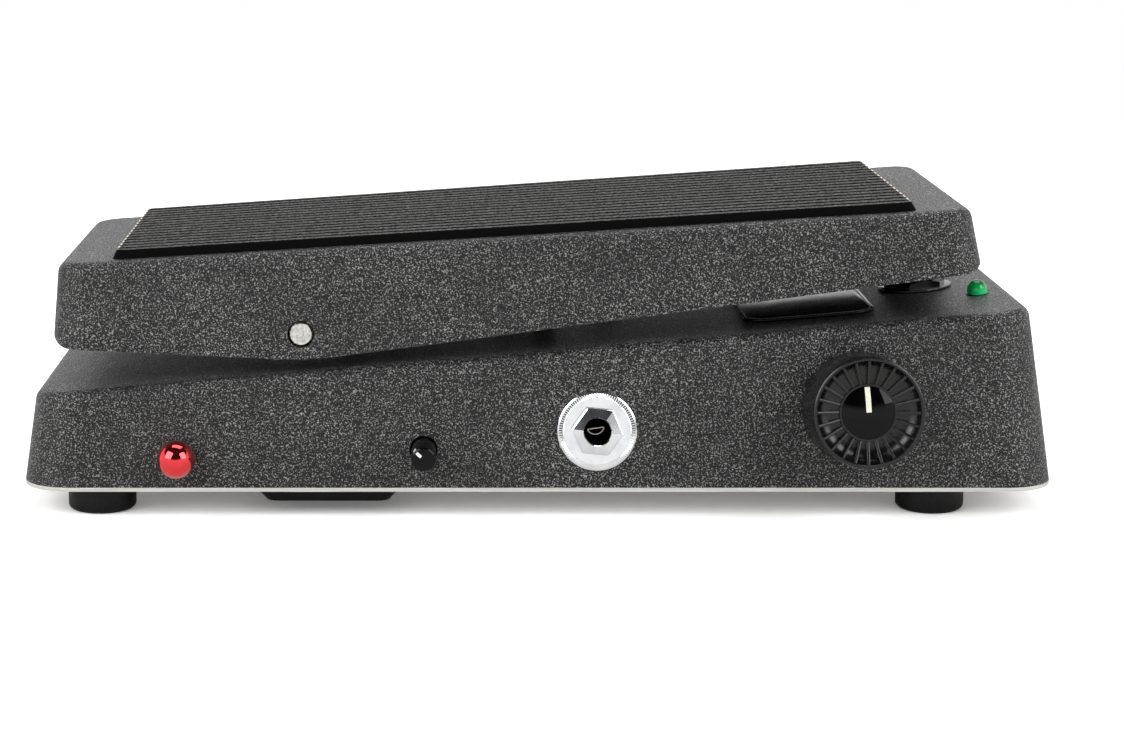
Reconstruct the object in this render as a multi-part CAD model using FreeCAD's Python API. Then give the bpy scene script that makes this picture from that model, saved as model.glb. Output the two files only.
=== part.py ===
import FreeCAD, Part

import math
import os

# A rocker effects pedal for guitar: a die-cast base with the electronics, and a die-cast treadle that
# rocks on a steel rod and turns a potentiometer through a rack and pinion.
# Millimetres, +X to the toe end, -Y to the input side, +Z up, z = 0 on the floor.
# Places are given from the middle of the base casting and are moved once, at the end, so that the
# origin lies in the middle of the pedal's footprint, knob and jacks included.

V = FreeCAD.Vector
UP = V(0, 0, 1)
ALONG = V(1, 0, 0)
ACROSS = V(0, 1, 0)

# Base casting
base_length = 254.0
base_width = 101.6
base_corner_radius = 12.0
base_corner_radius_at_top = 10.0
casting_height_limit = 56.0
casting_draft = 8.0
casting_wall = 3.0
casting_top_wall = 3.0
casting_edge_radius = 3.0
heel_height = 30.2
heel_height_inset = 3.0
toe_height = 51.0
toe_height_inset = 6.0

# Floor stack
foot_height = 7.0
plate_thickness = 1.0
foot_radius = 8.4
foot_chamfer = 0.9
foot_heel_inset = 18.7
foot_toe_inset = 29.2
foot_y = 37.8
foot_recess_radius = 5.0
foot_recess_depth = 4.0
foot_washer_radius = 4.6
foot_washer_thickness = 0.8
foot_screw_radius = 2.0
foot_screw_length = 16.0
foot_screw_head_radius = 3.8
foot_screw_head_height = 2.2
foot_boss_radius = 4.4

# Clearances
free_clearance = 0.3
screw_clearance = 0.25
thread_clearance = 0.05
running_clearance = 0.05
snug_clearance = 0.1

# Treadle and its pivot
pivot_x = -58.1
pivot_z = 44.9
rest_tilt = 3.7
heel_travel = 9.0
toe_travel = 2.4
treadle_heel_inset = 7.15
treadle_toe_inset = 17.5
treadle_half_width = 44.4
treadle_top = 20.25
treadle_taper = 1.3
treadle_draft = 8.5
treadle_end_draft = 8.0
treadle_corner_radius = 8.0
treadle_corner_radius_at_top = 7.0
treadle_wall = 3.0
treadle_ceiling = 3.0
treadle_edge_radius = 2.8
keel_x = 1.0
keel_depth = 6.4
keel_heel_rise = 6.6
keel_toe_rise = 11.6
keel_radius = 110.0
keel_end_radius = 5.0
rod_radius = 2.95
rod_hole_radius = 3.25
rod_boss_radius = 6.5
rod_boss_reach = 31.0
set_screw_radius = 1.5
set_screw_length = 5.0
rib_thickness = 2.5
rib_depth = 7.0
rib_places = (28.0, 96.0)

# Tread mat
mat_heel_inset = 16.35
mat_toe_inset = 16.0
mat_half_width = 38.0
mat_sheet = 1.1
mat_thickness = 2.3
mat_corner_radius = 2.5
mat_grooves = 16
mat_groove_pitch = 4.65
mat_groove_width = 1.5

# Pivot bracket
bracket_length = 17.0
bracket_half_width = 27.0
bracket_thickness = 1.8
ear_inside = 17.2
ear_radius = 6.5
bush_radius = 4.6
bush_flange_radius = 6.0
bush_flange = 1.0
bracket_screw_x = 5.0
bracket_screw_y = 23.0
bracket_screw_radius = 1.5
bracket_screw_head_radius = 2.8
bracket_screw_head = 1.7

# Rack, pinion and the pot they turn
rack_arm = 60.3
rack_pin_height = 1.2
rack_pin_radius = 1.5
rack_pin_head_radius = 2.6
rack_pin_head = 1.2
rack_thickness = 6.0
rack_half_depth = 3.0
rack_bottom = 11.2
rack_eye_height = 8.0
rack_eye_wall = 2.4
rack_teeth_above = 6
lug_thickness = 3.0
lug_gap = 0.6
lug_radius = 4.0
tooth_module = 0.8
tooth_count = 15
tooth_pressure_angle = 20.0
tooth_addendum = 0.64
tooth_dedendum = 0.9
tooth_backlash = 0.16
pinion_z = 22.6
pinion_face = 6.0
pinion_hub_radius = 4.4
pinion_hub = 1.6
pot_shaft_radius = 3.0
pot_radius = 12.0
pot_depth = 10.0
pot_bushing_radius = 4.4
pot_nut_flats = 11.1
pot_nut_thickness = 2.0
pot_nut_gap = 0.4
pot_bracket_thickness = 1.5
pot_bracket_heel_reach = 20.0
pot_bracket_toe_reach = 13.0
pot_bracket_flange = 12.0
pot_bracket_drop = 26.0
guide_height = 12.0
guide_back = 4.0
guide_arm_reach = 2.5

# Jacks
jack_x = 14.2
jack_z = 21.8
jack_bore_radius = 3.25
jack_bore_depth = 28.0
jack_bushing_radius = 4.5
jack_bushing_reach = 3.1
jack_body_half_width = 9.0
jack_body_half_height = 9.5
jack_body_depth = 24.0
jack_tag_pitch = 5.0
jack_tag_width = 2.4
jack_tag_thickness = 0.6
jack_tag_length = 4.0
jack_nut_flats = 11.1
jack_nut_thickness = 2.2
jack_nut_turn = -6.0
jack_washer_radius = 9.7
jack_washer_thickness = 0.8
power_x = 62.0
power_z = 19.0
power_bushing_radius = 5.6
power_bore_radius = 2.9
power_pin_radius = 1.05
power_bore_depth = 9.5
power_reach = 1.2
power_body_depth = 12.0
power_body_half_width = 7.0
power_body_half_height = 5.5

# Range selector on the input side
range_inset = 49.2
range_z = 27.4
range_bushing_radius = 4.7
range_bushing_reach = 3.4
range_body_radius = 12.5
range_body_depth = 15.0
range_pin_radius = 0.5
range_pin_length = 3.0
range_nut_flats = 12.7
range_nut_thickness = 2.2
range_shaft_radius = 3.0
range_shaft_reach = 14.0
knob_front_radius = 13.3
knob_back_radius = 13.9
knob_gap = 0.8
knob_depth = 17.6
knob_rim = 0.9
knob_dish_depth = 3.2
knob_back_recess_radius = 9.0
knob_back_recess = 4.2
knob_rib_count = 24
knob_rib_width = 0.8
knob_cap_radius = 6.3
knob_cap_rise = 2.2

# Boost level and boost switch on the input side
boost_knob_x = -28.1
boost_knob_z = 17.2
boost_knob_radius = 3.0
boost_knob_front_y = -60.0
boost_knob_hole_radius = 3.45
boost_pot_size = 9.6
boost_pot_depth = 6.5
boost_pot_gap = 1.0
boost_pin_radius = 0.4
boost_pin_pitch = 2.5
boost_pin_length = 3.0
button_inset = 38.9
button_z = 15.3
button_radius = 4.68
button_back = 1.9
button_straight = 5.0
button_neck_radius = 2.8
button_hole_radius = 3.2
button_travel = 1.4
button_switch_size = 10.0
button_switch_depth = 9.0
button_pin_pitch = 3.5
button_pin_width = 1.2
button_pin_thickness = 0.6

# Toe switch, lamp and name plate on the top face
toe_switch_inset = 28.0
toe_switch_size = 17.0
toe_switch_depth = 21.0
toe_tag_pitch = 5.0
toe_tag_width = 2.4
toe_tag_thickness = 0.6
toe_tag_length = 4.0
toe_bushing_radius = 5.9
toe_bushing_reach = 9.6
toe_nut_flats = 14.4
toe_nut_thickness = 2.0
toe_washer_radius = 9.4
toe_washer_thickness = 0.7
plunger_radius = 4.4
plunger_seat = 4.6
plunger_travel = 2.5
toe_bumper_radius = 9.0
toe_bumper_thickness = 3.0
heel_bumper_inset = 19.75
heel_bumper_y = 24.0
heel_bumper_radius = 5.0
heel_bumper_thickness = 5.0
lamp_inset = 15.0
lamp_y = -16.9
lamp_radius = 2.5
lamp_flange_radius = 2.95
lamp_dome_base = 1.2
lamp_below = 6.0
lamp_lead_radius = 0.3
lamp_lead_pitch = 2.54
badge_toe_inset = 42.5
badge_length = 33.0
badge_half_width = 31.5
badge_corner_radius = 6.0
badge_thickness = 0.8

# Battery compartment
battery_width = 26.5
battery_height = 17.5
battery_length = 48.5
battery_near_y = -42.0
battery_bottom = 9.2
battery_stud_radius = 2.9
battery_stud_pitch = 12.7
battery_stud_height = 3.0
snap_thickness = 4.5
snap_height = 13.0
snap_margin = 0.5
snap_gap = 0.2
box_centre_x = -51.8
box_half_width = 16.5
box_near_y = -44.0
box_far_y = 17.6
box_wall = 1.5
box_flange = 2.0
box_flange_thickness = 1.2
box_top = 28.3
door_half_width_at_plate = 18.2
door_half_width_below = 15.2
door_near_y = -46.2
door_far_y = 11.0
door_gap = 0.3
door_bottom = 3.2
door_panel = 1.8
door_corner_radius = 3.0
door_hinge_y = 14.4
door_hinge_z = 5.2
door_pin_radius = 0.8
door_knuckle_radius = 1.9
door_knuckle_width = 5.0
door_knuckle_pitch = 22.0
door_ear_height = 4.0
door_pad_margin = 2.0
door_tab_width = 8.0

# Circuit board
board_heel_x = 30.0
board_toe_x = 86.0
board_near_y = -23.0
board_far_y = 28.0
board_z = 14.5
board_thickness = 1.6
board_hole_inset = 4.0
board_post_radius = 3.2
board_screw_radius = 1.25
board_screw_head_radius = 2.4
board_screw_head = 1.5
board_screw_length = 8.0
coil_radius = 8.0
coil_height = 12.0
electrolytic_radius = 3.1
electrolytic_height = 11.0
film_length = 3.4
film_width = 7.2
film_height = 7.5
resistor_radius = 1.1
resistor_length = 6.0
resistor_lead_radius = 0.35
resistor_leg_radius = 0.25
resistor_leg_reach = 4.1
transistor_radius = 2.4
transistor_flat = 1.4
transistor_height = 4.6
transistor_leg_radius = 0.25
transistor_leg_pitch = 1.27
transistor_leg_height = 3.0

# Hookup wire
wire_radius = 0.65
wire_bend = 4.0
lead_height = 18.0
lead_hole_radius = 1.5

plate_bottom = foot_height
plate_top = plate_bottom + plate_thickness
half_length = base_length / 2
half_width = base_width / 2
heel_height_x = heel_height_inset - half_length
toe_height_x = half_length - toe_height_inset
foot_heel_x = foot_heel_inset - half_length
foot_toe_x = half_length - foot_toe_inset
treadle_heel_reach = half_length + pivot_x - treadle_heel_inset
treadle_toe_reach = half_length - pivot_x - treadle_toe_inset
mat_heel_x = mat_heel_inset - treadle_heel_reach
mat_toe_x = treadle_toe_reach - mat_toe_inset
heel_bumper_x = heel_bumper_inset - treadle_heel_reach
range_x = half_length - range_inset
button_x = button_inset - half_length
toe_switch_x = half_length - toe_switch_inset
lamp_x = half_length - lamp_inset
badge_x = half_length - badge_toe_inset - badge_length / 2
draft_slope = math.tan(math.radians(casting_draft))
top_angle = math.degrees(math.atan2(toe_height - heel_height, toe_height_x - heel_height_x))
treadle_slope = math.tan(math.radians(treadle_draft))
treadle_end_slope = math.tan(math.radians(treadle_end_draft))
treadle_widening = math.tan(math.radians(treadle_taper))
ceiling_level = treadle_top - treadle_ceiling
pitch_radius = tooth_module * tooth_count / 2
root_radius = pitch_radius - tooth_dedendum
tip_radius = pitch_radius + tooth_addendum


def top_z(x):
    """Height of the base's sloping top face at x."""
    return heel_height + (x - heel_height_x) * math.tan(math.radians(top_angle))


def wall_y(z):
    """Distance of the base's outer side face from the middle plane at height z."""
    return half_width - (z - plate_top) * draft_slope


def cylinder(radius, base, direction, length):
    return Part.makeCylinder(radius, length, V(*base), direction)


def box(x0, x1, y0, y1, z0, z1):
    return Part.makeBox(x1 - x0, y1 - y0, z1 - z0, V(x0, y0, z0))


def joined(shapes):
    """One solid from overlapping shapes."""
    whole = shapes[0].multiFuse(shapes[1:])
    return whole.removeSplitter()


def placed(shape, placement):
    """A copy of a shape, moved by a placement."""
    moved = shape.copy()
    moved.Placement = placement.multiply(moved.Placement)
    return moved


def rounded_wire(x0, x1, reach, radius, z):
    """A rectangle with round corners in a level plane, symmetric about y = 0."""
    turn = radius * (1 - math.sqrt(0.5))
    points = [
        (x0 + radius, -reach), (x1 - radius, -reach), (x1 - turn, -reach + turn),
        (x1, -reach + radius), (x1, reach - radius), (x1 - turn, reach - turn),
        (x1 - radius, reach), (x0 + radius, reach), (x0 + turn, reach - turn),
        (x0, reach - radius), (x0, -reach + radius), (x0 + turn, -reach + turn),
    ]
    p = [V(x, y, z) for x, y in points]
    edges = []
    for i in range(4):
        start = p[3 * i]
        end = p[3 * i + 1]
        after = p[(3 * i + 3) % 12]
        edges.append(Part.LineSegment(start, end).toShape())
        edges.append(Part.Arc(end, p[3 * i + 2], after).toShape())
    return Part.Wire(edges)


def rounded_corner(before, corner, after, radius):
    """Start, middle and end of the arc that rounds a corner."""
    back = (before - corner).normalize()
    ahead = (after - corner).normalize()
    half_turn = (math.pi - back.getAngle(ahead)) / 2
    cut = radius * math.tan(half_turn)
    lift = radius / math.cos(half_turn) - radius
    return corner + back * cut, corner + (back + ahead).normalize() * lift, corner + ahead * cut


def tapered_wire(x0, x1, reach, radius, z):
    """The treadle's kind of outline: it widens to the toe end and has round corners."""
    heel_reach = reach + x0 * treadle_widening
    toe_reach = reach + x1 * treadle_widening
    p = [V(x0, -heel_reach, z), V(x1, -toe_reach, z), V(x1, toe_reach, z), V(x0, heel_reach, z)]
    arcs = [rounded_corner(p[i - 1], p[i], p[(i + 1) % 4], radius) for i in range(4)]
    edges = []
    for i in range(4):
        start, middle, end = arcs[i]
        edges.append(Part.Arc(start, middle, end).toShape())
        edges.append(Part.LineSegment(end, arcs[(i + 1) % 4][0]).toShape())
    return Part.Wire(edges)


def slab(x0, x1, y0, y1, radius, z0, z1):
    """A level plate with round corners."""
    middle = (y0 + y1) / 2
    wire = rounded_wire(x0, x1, (y1 - y0) / 2, radius, z0)
    solid = Part.Face(wire).extrude(V(0, 0, z1 - z0))
    return placed(solid, FreeCAD.Placement(V(0, middle, 0), FreeCAD.Rotation()))


def hexagon_nut(flats, bore, thickness, point_up=False):
    """A hexagon nut on the local z axis with bevelled corners and its lower face at z = 0."""
    corner = flats / 2 / math.cos(math.radians(30))
    offset = 30 if point_up else 0
    angles = [math.radians(60 * i + offset) for i in range(7)]
    outline = [V(corner * math.cos(a), corner * math.sin(a), 0) for a in angles]
    prism = Part.Face(Part.makePolygon(outline)).extrude(V(0, 0, thickness))
    bevel = (corner - flats / 2) * 0.6
    cone = Part.makeCone(corner + thickness - bevel, corner - bevel, thickness)
    nut = prism.common(cone)
    return nut.cut(cylinder(bore, (0, 0, -1), UP, thickness + 2))


def screw(radius, length, head_radius, head_height):
    """A pan-head screw: head on top of z = 0, shank downwards, cross recess in the head."""
    head = cylinder(head_radius, (0, 0, 0), UP, head_height)
    rim = max(head.Edges, key=lambda e: e.BoundBox.ZMin)
    head = head.makeFillet(head_height * 0.45, [rim])
    shank = cylinder(radius, (0, 0, -length), UP, length + head_height / 2)
    body = joined([head, shank])
    arm = head_radius * 0.6
    blade = head_radius * 0.14
    deep = head_height * 0.5
    recess = box(-arm, arm, -blade, blade, deep, head_height * 2)
    across = box(-blade, blade, -arm, arm, deep, head_height * 2)
    return body.cut(recess.fuse(across))


def near_wall_frame(x, z, draft=casting_draft):
    """Local x along the base, y up the wall, z out of the near wall, from its outer face."""
    c = math.cos(math.radians(draft))
    s = math.sin(math.radians(draft))
    turn = FreeCAD.Rotation(ALONG, V(0, s, c), V(0, -c, s), "ZXY")
    return FreeCAD.Placement(V(x, -wall_y(z), z), turn)


def far_wall_frame(x, z):
    """Local z out of the far wall, from its outer face, and y up the wall."""
    c = math.cos(math.radians(casting_draft))
    s = math.sin(math.radians(casting_draft))
    turn = FreeCAD.Rotation(V(-1, 0, 0), V(0, -s, c), V(0, c, s), "ZXY")
    return FreeCAD.Placement(V(x, wall_y(z), z), turn)


def top_frame(x, y=0.0):
    """Local z out of the base's top face, local x uphill."""
    turn = FreeCAD.Rotation(ACROSS, -top_angle)
    return FreeCAD.Placement(V(x, y, top_z(x)), turn)


def treadle_frame():
    """The treadle's own level frame at the rod, turned to the rest tilt."""
    turn = FreeCAD.Rotation(ACROSS, -rest_tilt)
    return FreeCAD.Placement(V(pivot_x, 0, pivot_z), turn)


def floor_frame(x, y, z):
    return FreeCAD.Placement(V(x, y, z), FreeCAD.Rotation())


def treadle_point(x, z, tilt):
    """World place of a treadle point at a given tilt."""
    a = math.radians(tilt)
    return (pivot_x + x * math.cos(a) - z * math.sin(a),
            pivot_z + x * math.sin(a) + z * math.cos(a))


def rack_x():
    """The rack's middle: under the pin halfway through the pin's fore and aft swing."""
    return treadle_point(rack_arm, rack_pin_height, rest_tilt)[0]


def rack_pin_z():
    return treadle_point(rack_arm, rack_pin_height, rest_tilt)[1]


def pinion_x():
    """The pinion's axis, a pitch radius beyond the rack's pitch line."""
    return rack_x() + rack_half_depth - tooth_addendum + pitch_radius + tooth_backlash / 2


def foot_places():
    return [(x, y) for x in (foot_heel_x, foot_toe_x) for y in (-foot_y, foot_y)]


def base_block(inset, top_drop, bottom):
    """The base's drafted outline, shrunk by a wall and cut under the sloping top."""
    def outline(z):
        shrink = inset + (z - plate_top) * draft_slope
        share = (z - plate_top) / casting_height_limit
        radius = base_corner_radius - inset
        radius -= (base_corner_radius - base_corner_radius_at_top) * share
        return rounded_wire(-half_length + shrink, half_length - shrink, half_width - shrink, radius, z)

    block = Part.makeLoft([outline(bottom), outline(plate_top + casting_height_limit)], True, True)
    lid = box(-base_length, base_length, -base_width, base_width, 0, base_length)
    above = placed(lid, top_frame(0))
    above.translate(V(0, 0, -top_drop / math.cos(math.radians(top_angle))))
    return block.cut(above)


def board_corners():
    xs = (board_heel_x + board_hole_inset, board_toe_x - board_hole_inset)
    ys = (board_near_y + board_hole_inset, board_far_y - board_hole_inset)
    return [(x, y) for x in xs for y in ys]


def bracket_frame():
    """The pivot bracket's seat on the top face, square under the rod."""
    height = rod_height()
    a = math.radians(top_angle)
    return FreeCAD.Placement(
        V(pivot_x + height * math.sin(a), 0, pivot_z - height * math.cos(a)),
        FreeCAD.Rotation(ACROSS, -top_angle))


def rod_height():
    """Distance of the rod's axis from the base's top face."""
    return (pivot_z - top_z(pivot_x)) * math.cos(math.radians(top_angle))


def bracket_screw_places():
    return [(x, y) for x in (-bracket_screw_x, bracket_screw_x)
            for y in (-bracket_screw_y, bracket_screw_y)]


def pot_bracket_screw_places():
    """Screws through the top face into the pot bracket's flange, in the frame at the pinion."""
    y = rack_thickness / 2 + pot_nut_gap + pot_nut_thickness + pot_bracket_thickness
    return [(x, y + pot_bracket_flange * 0.6)
            for x in (-pot_bracket_heel_reach + 4, pot_bracket_toe_reach - 4)]


def base_casting():
    """The hollow base with its bosses, posts and drilled holes."""
    outer = base_block(0, 0, plate_top)
    top = max(outer.Faces, key=lambda f: f.CenterOfMass.z)
    outer = outer.makeFillet(casting_edge_radius, top.Edges)
    shell = outer.cut(base_block(casting_wall, casting_top_wall, plate_top - 1))
    bosses = []
    for x, y in foot_places():
        height = top_z(x) - casting_top_wall / 2 - plate_top
        bosses.append(cylinder(foot_boss_radius, (x, y, plate_top), UP, height))
    board_top = board_z + board_thickness
    for x, y in board_corners():
        height = top_z(x) - casting_top_wall / 2 - board_top
        bosses.append(cylinder(board_post_radius, (x, y, board_top), UP, height))
    shell = joined([shell] + bosses)
    holes = []
    for x, y in foot_places():
        depth = foot_screw_length + 2
        holes.append(cylinder(foot_screw_radius + thread_clearance, (x, y, plate_bottom), UP, depth))
    for x, y in board_corners():
        radius = board_screw_radius + thread_clearance
        holes.append(cylinder(radius, (x, y, board_z), UP, board_screw_length + 2))
    through = casting_wall * 4
    start = (0, 0, -through / 2)

    def drill(radius, frame):
        holes.append(placed(cylinder(radius, start, UP, through), frame))

    drill(jack_bushing_radius + free_clearance / 2, near_wall_frame(jack_x, jack_z))
    drill(jack_bushing_radius + free_clearance / 2, far_wall_frame(jack_x, jack_z))
    drill(power_bushing_radius + snug_clearance, far_wall_frame(power_x, power_z))
    drill(range_bushing_radius + snug_clearance, near_wall_frame(range_x, range_z))
    drill(boost_knob_hole_radius, near_wall_frame(boost_knob_x, boost_knob_z, 0))
    drill(button_hole_radius, near_wall_frame(button_x, button_z))
    drill(toe_bushing_radius + snug_clearance, top_frame(toe_switch_x))
    drill(lamp_radius + snug_clearance, top_frame(lamp_x, lamp_y))
    for x, y in bracket_screw_places():
        hole = cylinder(bracket_screw_radius + thread_clearance, (x, y, -through / 2), UP, through)
        holes.append(placed(hole, bracket_frame()))
    for x, y in pot_bracket_screw_places():
        hole = cylinder(bracket_screw_radius + screw_clearance, (x, y, -through / 2), UP, through)
        holes.append(placed(hole, top_frame(pinion_x())))
    slot_reach = rack_half_depth + 4 * free_clearance
    slot = box(-slot_reach, slot_reach, -slot_reach, slot_reach, -through / 2, through / 2)
    holes.append(placed(slot, floor_frame(rack_x(), 0, top_z(rack_x()))))
    return shell.cut(Part.makeCompound(holes))


def bottom_plate():
    """The bare sheet-metal floor, with the battery opening."""
    outline = rounded_wire(-half_length, half_length, half_width, base_corner_radius, plate_bottom)
    plate = Part.Face(outline).extrude(V(0, 0, plate_thickness))
    for x, y in foot_places():
        hole = cylinder(foot_screw_radius + screw_clearance, (x, y, 0), UP, plate_top + 1)
        plate = plate.cut(hole)
    inside = box_half_width - box_wall + snug_clearance
    opening = box(box_centre_x - inside, box_centre_x + inside,
                  box_near_y + box_wall - snug_clearance, box_far_y - box_wall + snug_clearance,
                  0, plate_top + 1)
    return plate.cut(opening)


def foot():
    """A rubber foot on the floor at the origin, with its screw recess."""
    body = cylinder(foot_radius, (0, 0, 0), UP, foot_height)
    edge = min(body.Edges, key=lambda e: e.BoundBox.ZMax)
    body = body.makeChamfer(foot_chamfer, [edge])
    recess = cylinder(foot_recess_radius, (0, 0, -1), UP, foot_recess_depth + 1)
    hole = cylinder(foot_screw_radius + screw_clearance, (0, 0, 0), UP, foot_height + 1)
    return body.cut(recess.fuse(hole))


def foot_washers():
    ring = cylinder(foot_washer_radius, (0, 0, 0), UP, foot_washer_thickness)
    ring = ring.cut(cylinder(foot_screw_radius + screw_clearance, (0, 0, -1), UP, 3))
    z = foot_recess_depth - foot_washer_thickness
    return Part.makeCompound([placed(ring, floor_frame(x, y, z)) for x, y in foot_places()])


def foot_screws():
    one = screw(foot_screw_radius, foot_screw_length, foot_screw_head_radius, foot_screw_head_height)
    one.rotate(V(0, 0, 0), ALONG, 180)
    z = foot_recess_depth - foot_washer_thickness
    return Part.makeCompound([placed(one, floor_frame(x, y, z)) for x, y in foot_places()])


def treadle_block(inset, top, bottom):
    """The treadle's drafted outline between two levels, shrunk by a wall."""
    def outline(z):
        side = inset + z * treadle_slope
        end = inset + z * treadle_end_slope
        share = (z - bottom) / (top - bottom)
        radius = treadle_corner_radius - inset
        radius -= (treadle_corner_radius - treadle_corner_radius_at_top) * share
        return tapered_wire(end - treadle_heel_reach, treadle_toe_reach - end,
                            treadle_half_width - side, radius, z)

    return Part.makeLoft([outline(bottom), outline(top)], True, True)


def keel_cutter():
    """Everything below the treadle's lower edge: two straight runs with a round keel and round ends."""
    reach = treadle_half_width * 2
    low = -treadle_top * 4
    beyond_heel = -treadle_heel_reach * 2
    beyond_toe = treadle_toe_reach * 2
    corners = [V(-treadle_heel_reach, 0, treadle_top),
               V(-treadle_heel_reach, 0, keel_heel_rise - keel_depth),
               V(keel_x, 0, -keel_depth),
               V(treadle_toe_reach, 0, keel_toe_rise - keel_depth),
               V(treadle_toe_reach, 0, treadle_top)]
    edges = []
    last = corners[0]
    for i, radius in ((1, keel_end_radius), (2, keel_radius), (3, keel_end_radius)):
        start, middle, end = rounded_corner(corners[i - 1], corners[i], corners[i + 1], radius)
        edges.append(Part.LineSegment(last, start).toShape())
        edges.append(Part.Arc(start, middle, end).toShape())
        last = end
    below = [corners[4], V(beyond_toe, 0, treadle_top), V(beyond_toe, 0, low), V(beyond_heel, 0, low),
             V(beyond_heel, 0, treadle_top), corners[0]]
    for point in below:
        edges.append(Part.LineSegment(last, point).toShape())
        last = point
    face = Part.Face(Part.Wire(edges))
    face.translate(V(0, -reach, 0))
    return face.extrude(V(0, 2 * reach, 0))


def rack_lug(side):
    """One of the two ears under the treadle that hold the rack's pin."""
    inner = rack_thickness / 2 + lug_gap
    y0 = inner if side > 0 else -inner - lug_thickness
    eye = cylinder(lug_radius, (rack_arm, y0, rack_pin_height), ACROSS, lug_thickness)
    stem = box(rack_arm - lug_radius, rack_arm + lug_radius, y0, y0 + lug_thickness,
               rack_pin_height, ceiling_level + treadle_ceiling / 2)
    return eye.fuse(stem)


def heel_post_bottom():
    """Level of the rubber heel bumpers' ends: just off the base's top face at the heel limit."""
    tilt = math.radians(rest_tilt + heel_travel)
    lean = tilt - math.radians(top_angle)
    level = 0.0
    for _ in range(20):
        x, z = treadle_point(heel_bumper_x, level, rest_tilt + heel_travel)
        gap = (z - top_z(x)) * math.cos(math.radians(top_angle))
        level -= gap - heel_bumper_radius * math.sin(lean) - free_clearance
    return level


def heel_bumper_places():
    return [(heel_bumper_x, -heel_bumper_y), (heel_bumper_x, heel_bumper_y)]


def treadle_casting():
    """The hollow treadle with its rod bosses, rack ears, bumper posts and cross ribs."""
    low = -2 * keel_depth
    outer = treadle_block(0, treadle_top, low)
    outer = outer.cut(keel_cutter())
    top = max(outer.Faces, key=lambda f: f.CenterOfMass.z)
    outer = outer.makeFillet(treadle_edge_radius, top.Edges)
    cavity = treadle_block(treadle_wall, ceiling_level, low - 1)
    shell = outer.cut(cavity)
    extras = [rack_lug(-1), rack_lug(1)]
    for x in rib_places:
        rib = box(x - rib_thickness / 2, x + rib_thickness / 2, -treadle_half_width,
                  treadle_half_width, ceiling_level - rib_depth, ceiling_level + treadle_ceiling / 2)
        extras.append(rib.common(treadle_block(treadle_wall / 2, treadle_top, low)))
    for side in (-1, 1):
        y0 = rod_boss_reach if side > 0 else -treadle_half_width
        length = treadle_half_width - rod_boss_reach
        boss = cylinder(rod_boss_radius, (0, y0, 0), ACROSS, length)
        web = box(-rod_boss_radius, rod_boss_radius, y0, y0 + length, 0,
                  ceiling_level + treadle_ceiling / 2)
        boss = boss.fuse(web)
        extras.append(boss.common(treadle_block(treadle_wall / 2, treadle_top, low)))
    post_end = heel_post_bottom() + heel_bumper_thickness
    for x, y in heel_bumper_places():
        height = ceiling_level + treadle_ceiling / 2 - post_end
        extras.append(cylinder(heel_bumper_radius, (x, y, post_end), UP, height))
    body = joined([shell] + extras)
    rod_hole = cylinder(rod_hole_radius, (0, -treadle_half_width - 1, 0), ACROSS,
                        2 * treadle_half_width + 2)
    pin_hole = cylinder(rack_pin_radius + running_clearance, (rack_arm, -treadle_half_width / 2,
                        rack_pin_height), ACROSS, treadle_half_width)
    cuts = [rod_hole, pin_hole]
    for side in (-1, 1):
        y = side * (rod_boss_reach + set_screw_radius * 2)
        radius = set_screw_radius + thread_clearance
        cuts.append(cylinder(radius, (0, y, -rod_boss_radius - 1), UP, rod_boss_radius + 1))
    return placed(body.cut(Part.makeCompound(cuts)), treadle_frame())


def set_screws():
    """Two headless screws that lock the rod in the treadle's bosses."""
    solids = []
    for side in (-1, 1):
        y = side * (rod_boss_reach + set_screw_radius * 2)
        body = cylinder(set_screw_radius, (0, y, -rod_radius - set_screw_length), UP, set_screw_length)
        socket = cylinder(set_screw_radius / 2, (0, y, -rod_radius - set_screw_length - 1), UP, 3)
        solids.append(placed(body.cut(socket), treadle_frame()))
    return Part.makeCompound(solids)


def mat_groove(y):
    """A cutter for one furrow, which fans out with the mat's sides."""
    spread = y / mat_half_width * treadle_widening
    outline = []
    for x, side in ((mat_heel_x - 1, -1), (mat_toe_x + 1, -1), (mat_toe_x + 1, 1), (mat_heel_x - 1, 1)):
        outline.append(V(x, y + spread * x + side * mat_groove_width / 2, treadle_top + mat_sheet))
    face = Part.Face(Part.makePolygon(outline + [outline[0]]))
    return face.extrude(V(0, 0, mat_thickness))


def tread_mat():
    """The ribbed rubber sheet on the treadle, ribs along its length, plain bands at the long edges."""
    outline = tapered_wire(mat_heel_x, mat_toe_x, mat_half_width, mat_corner_radius, treadle_top)
    sheet = Part.Face(outline).extrude(V(0, 0, mat_thickness))
    middle = (mat_grooves - 1) / 2
    cuts = [mat_groove((i - middle) * mat_groove_pitch) for i in range(mat_grooves)]
    return placed(sheet.cut(Part.makeCompound(cuts)), treadle_frame())


def pivot_rod():
    """The steel rod, with a small chamfer at each end, a little inside the treadle's side faces."""
    reach = treadle_half_width - free_clearance
    rod = cylinder(rod_radius, (0, -reach, 0), ACROSS, 2 * reach)
    ends = [e for e in rod.Edges if e.BoundBox.YLength < rod_radius / 10]
    return placed(rod.makeChamfer(0.3, ends), treadle_frame())


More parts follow.
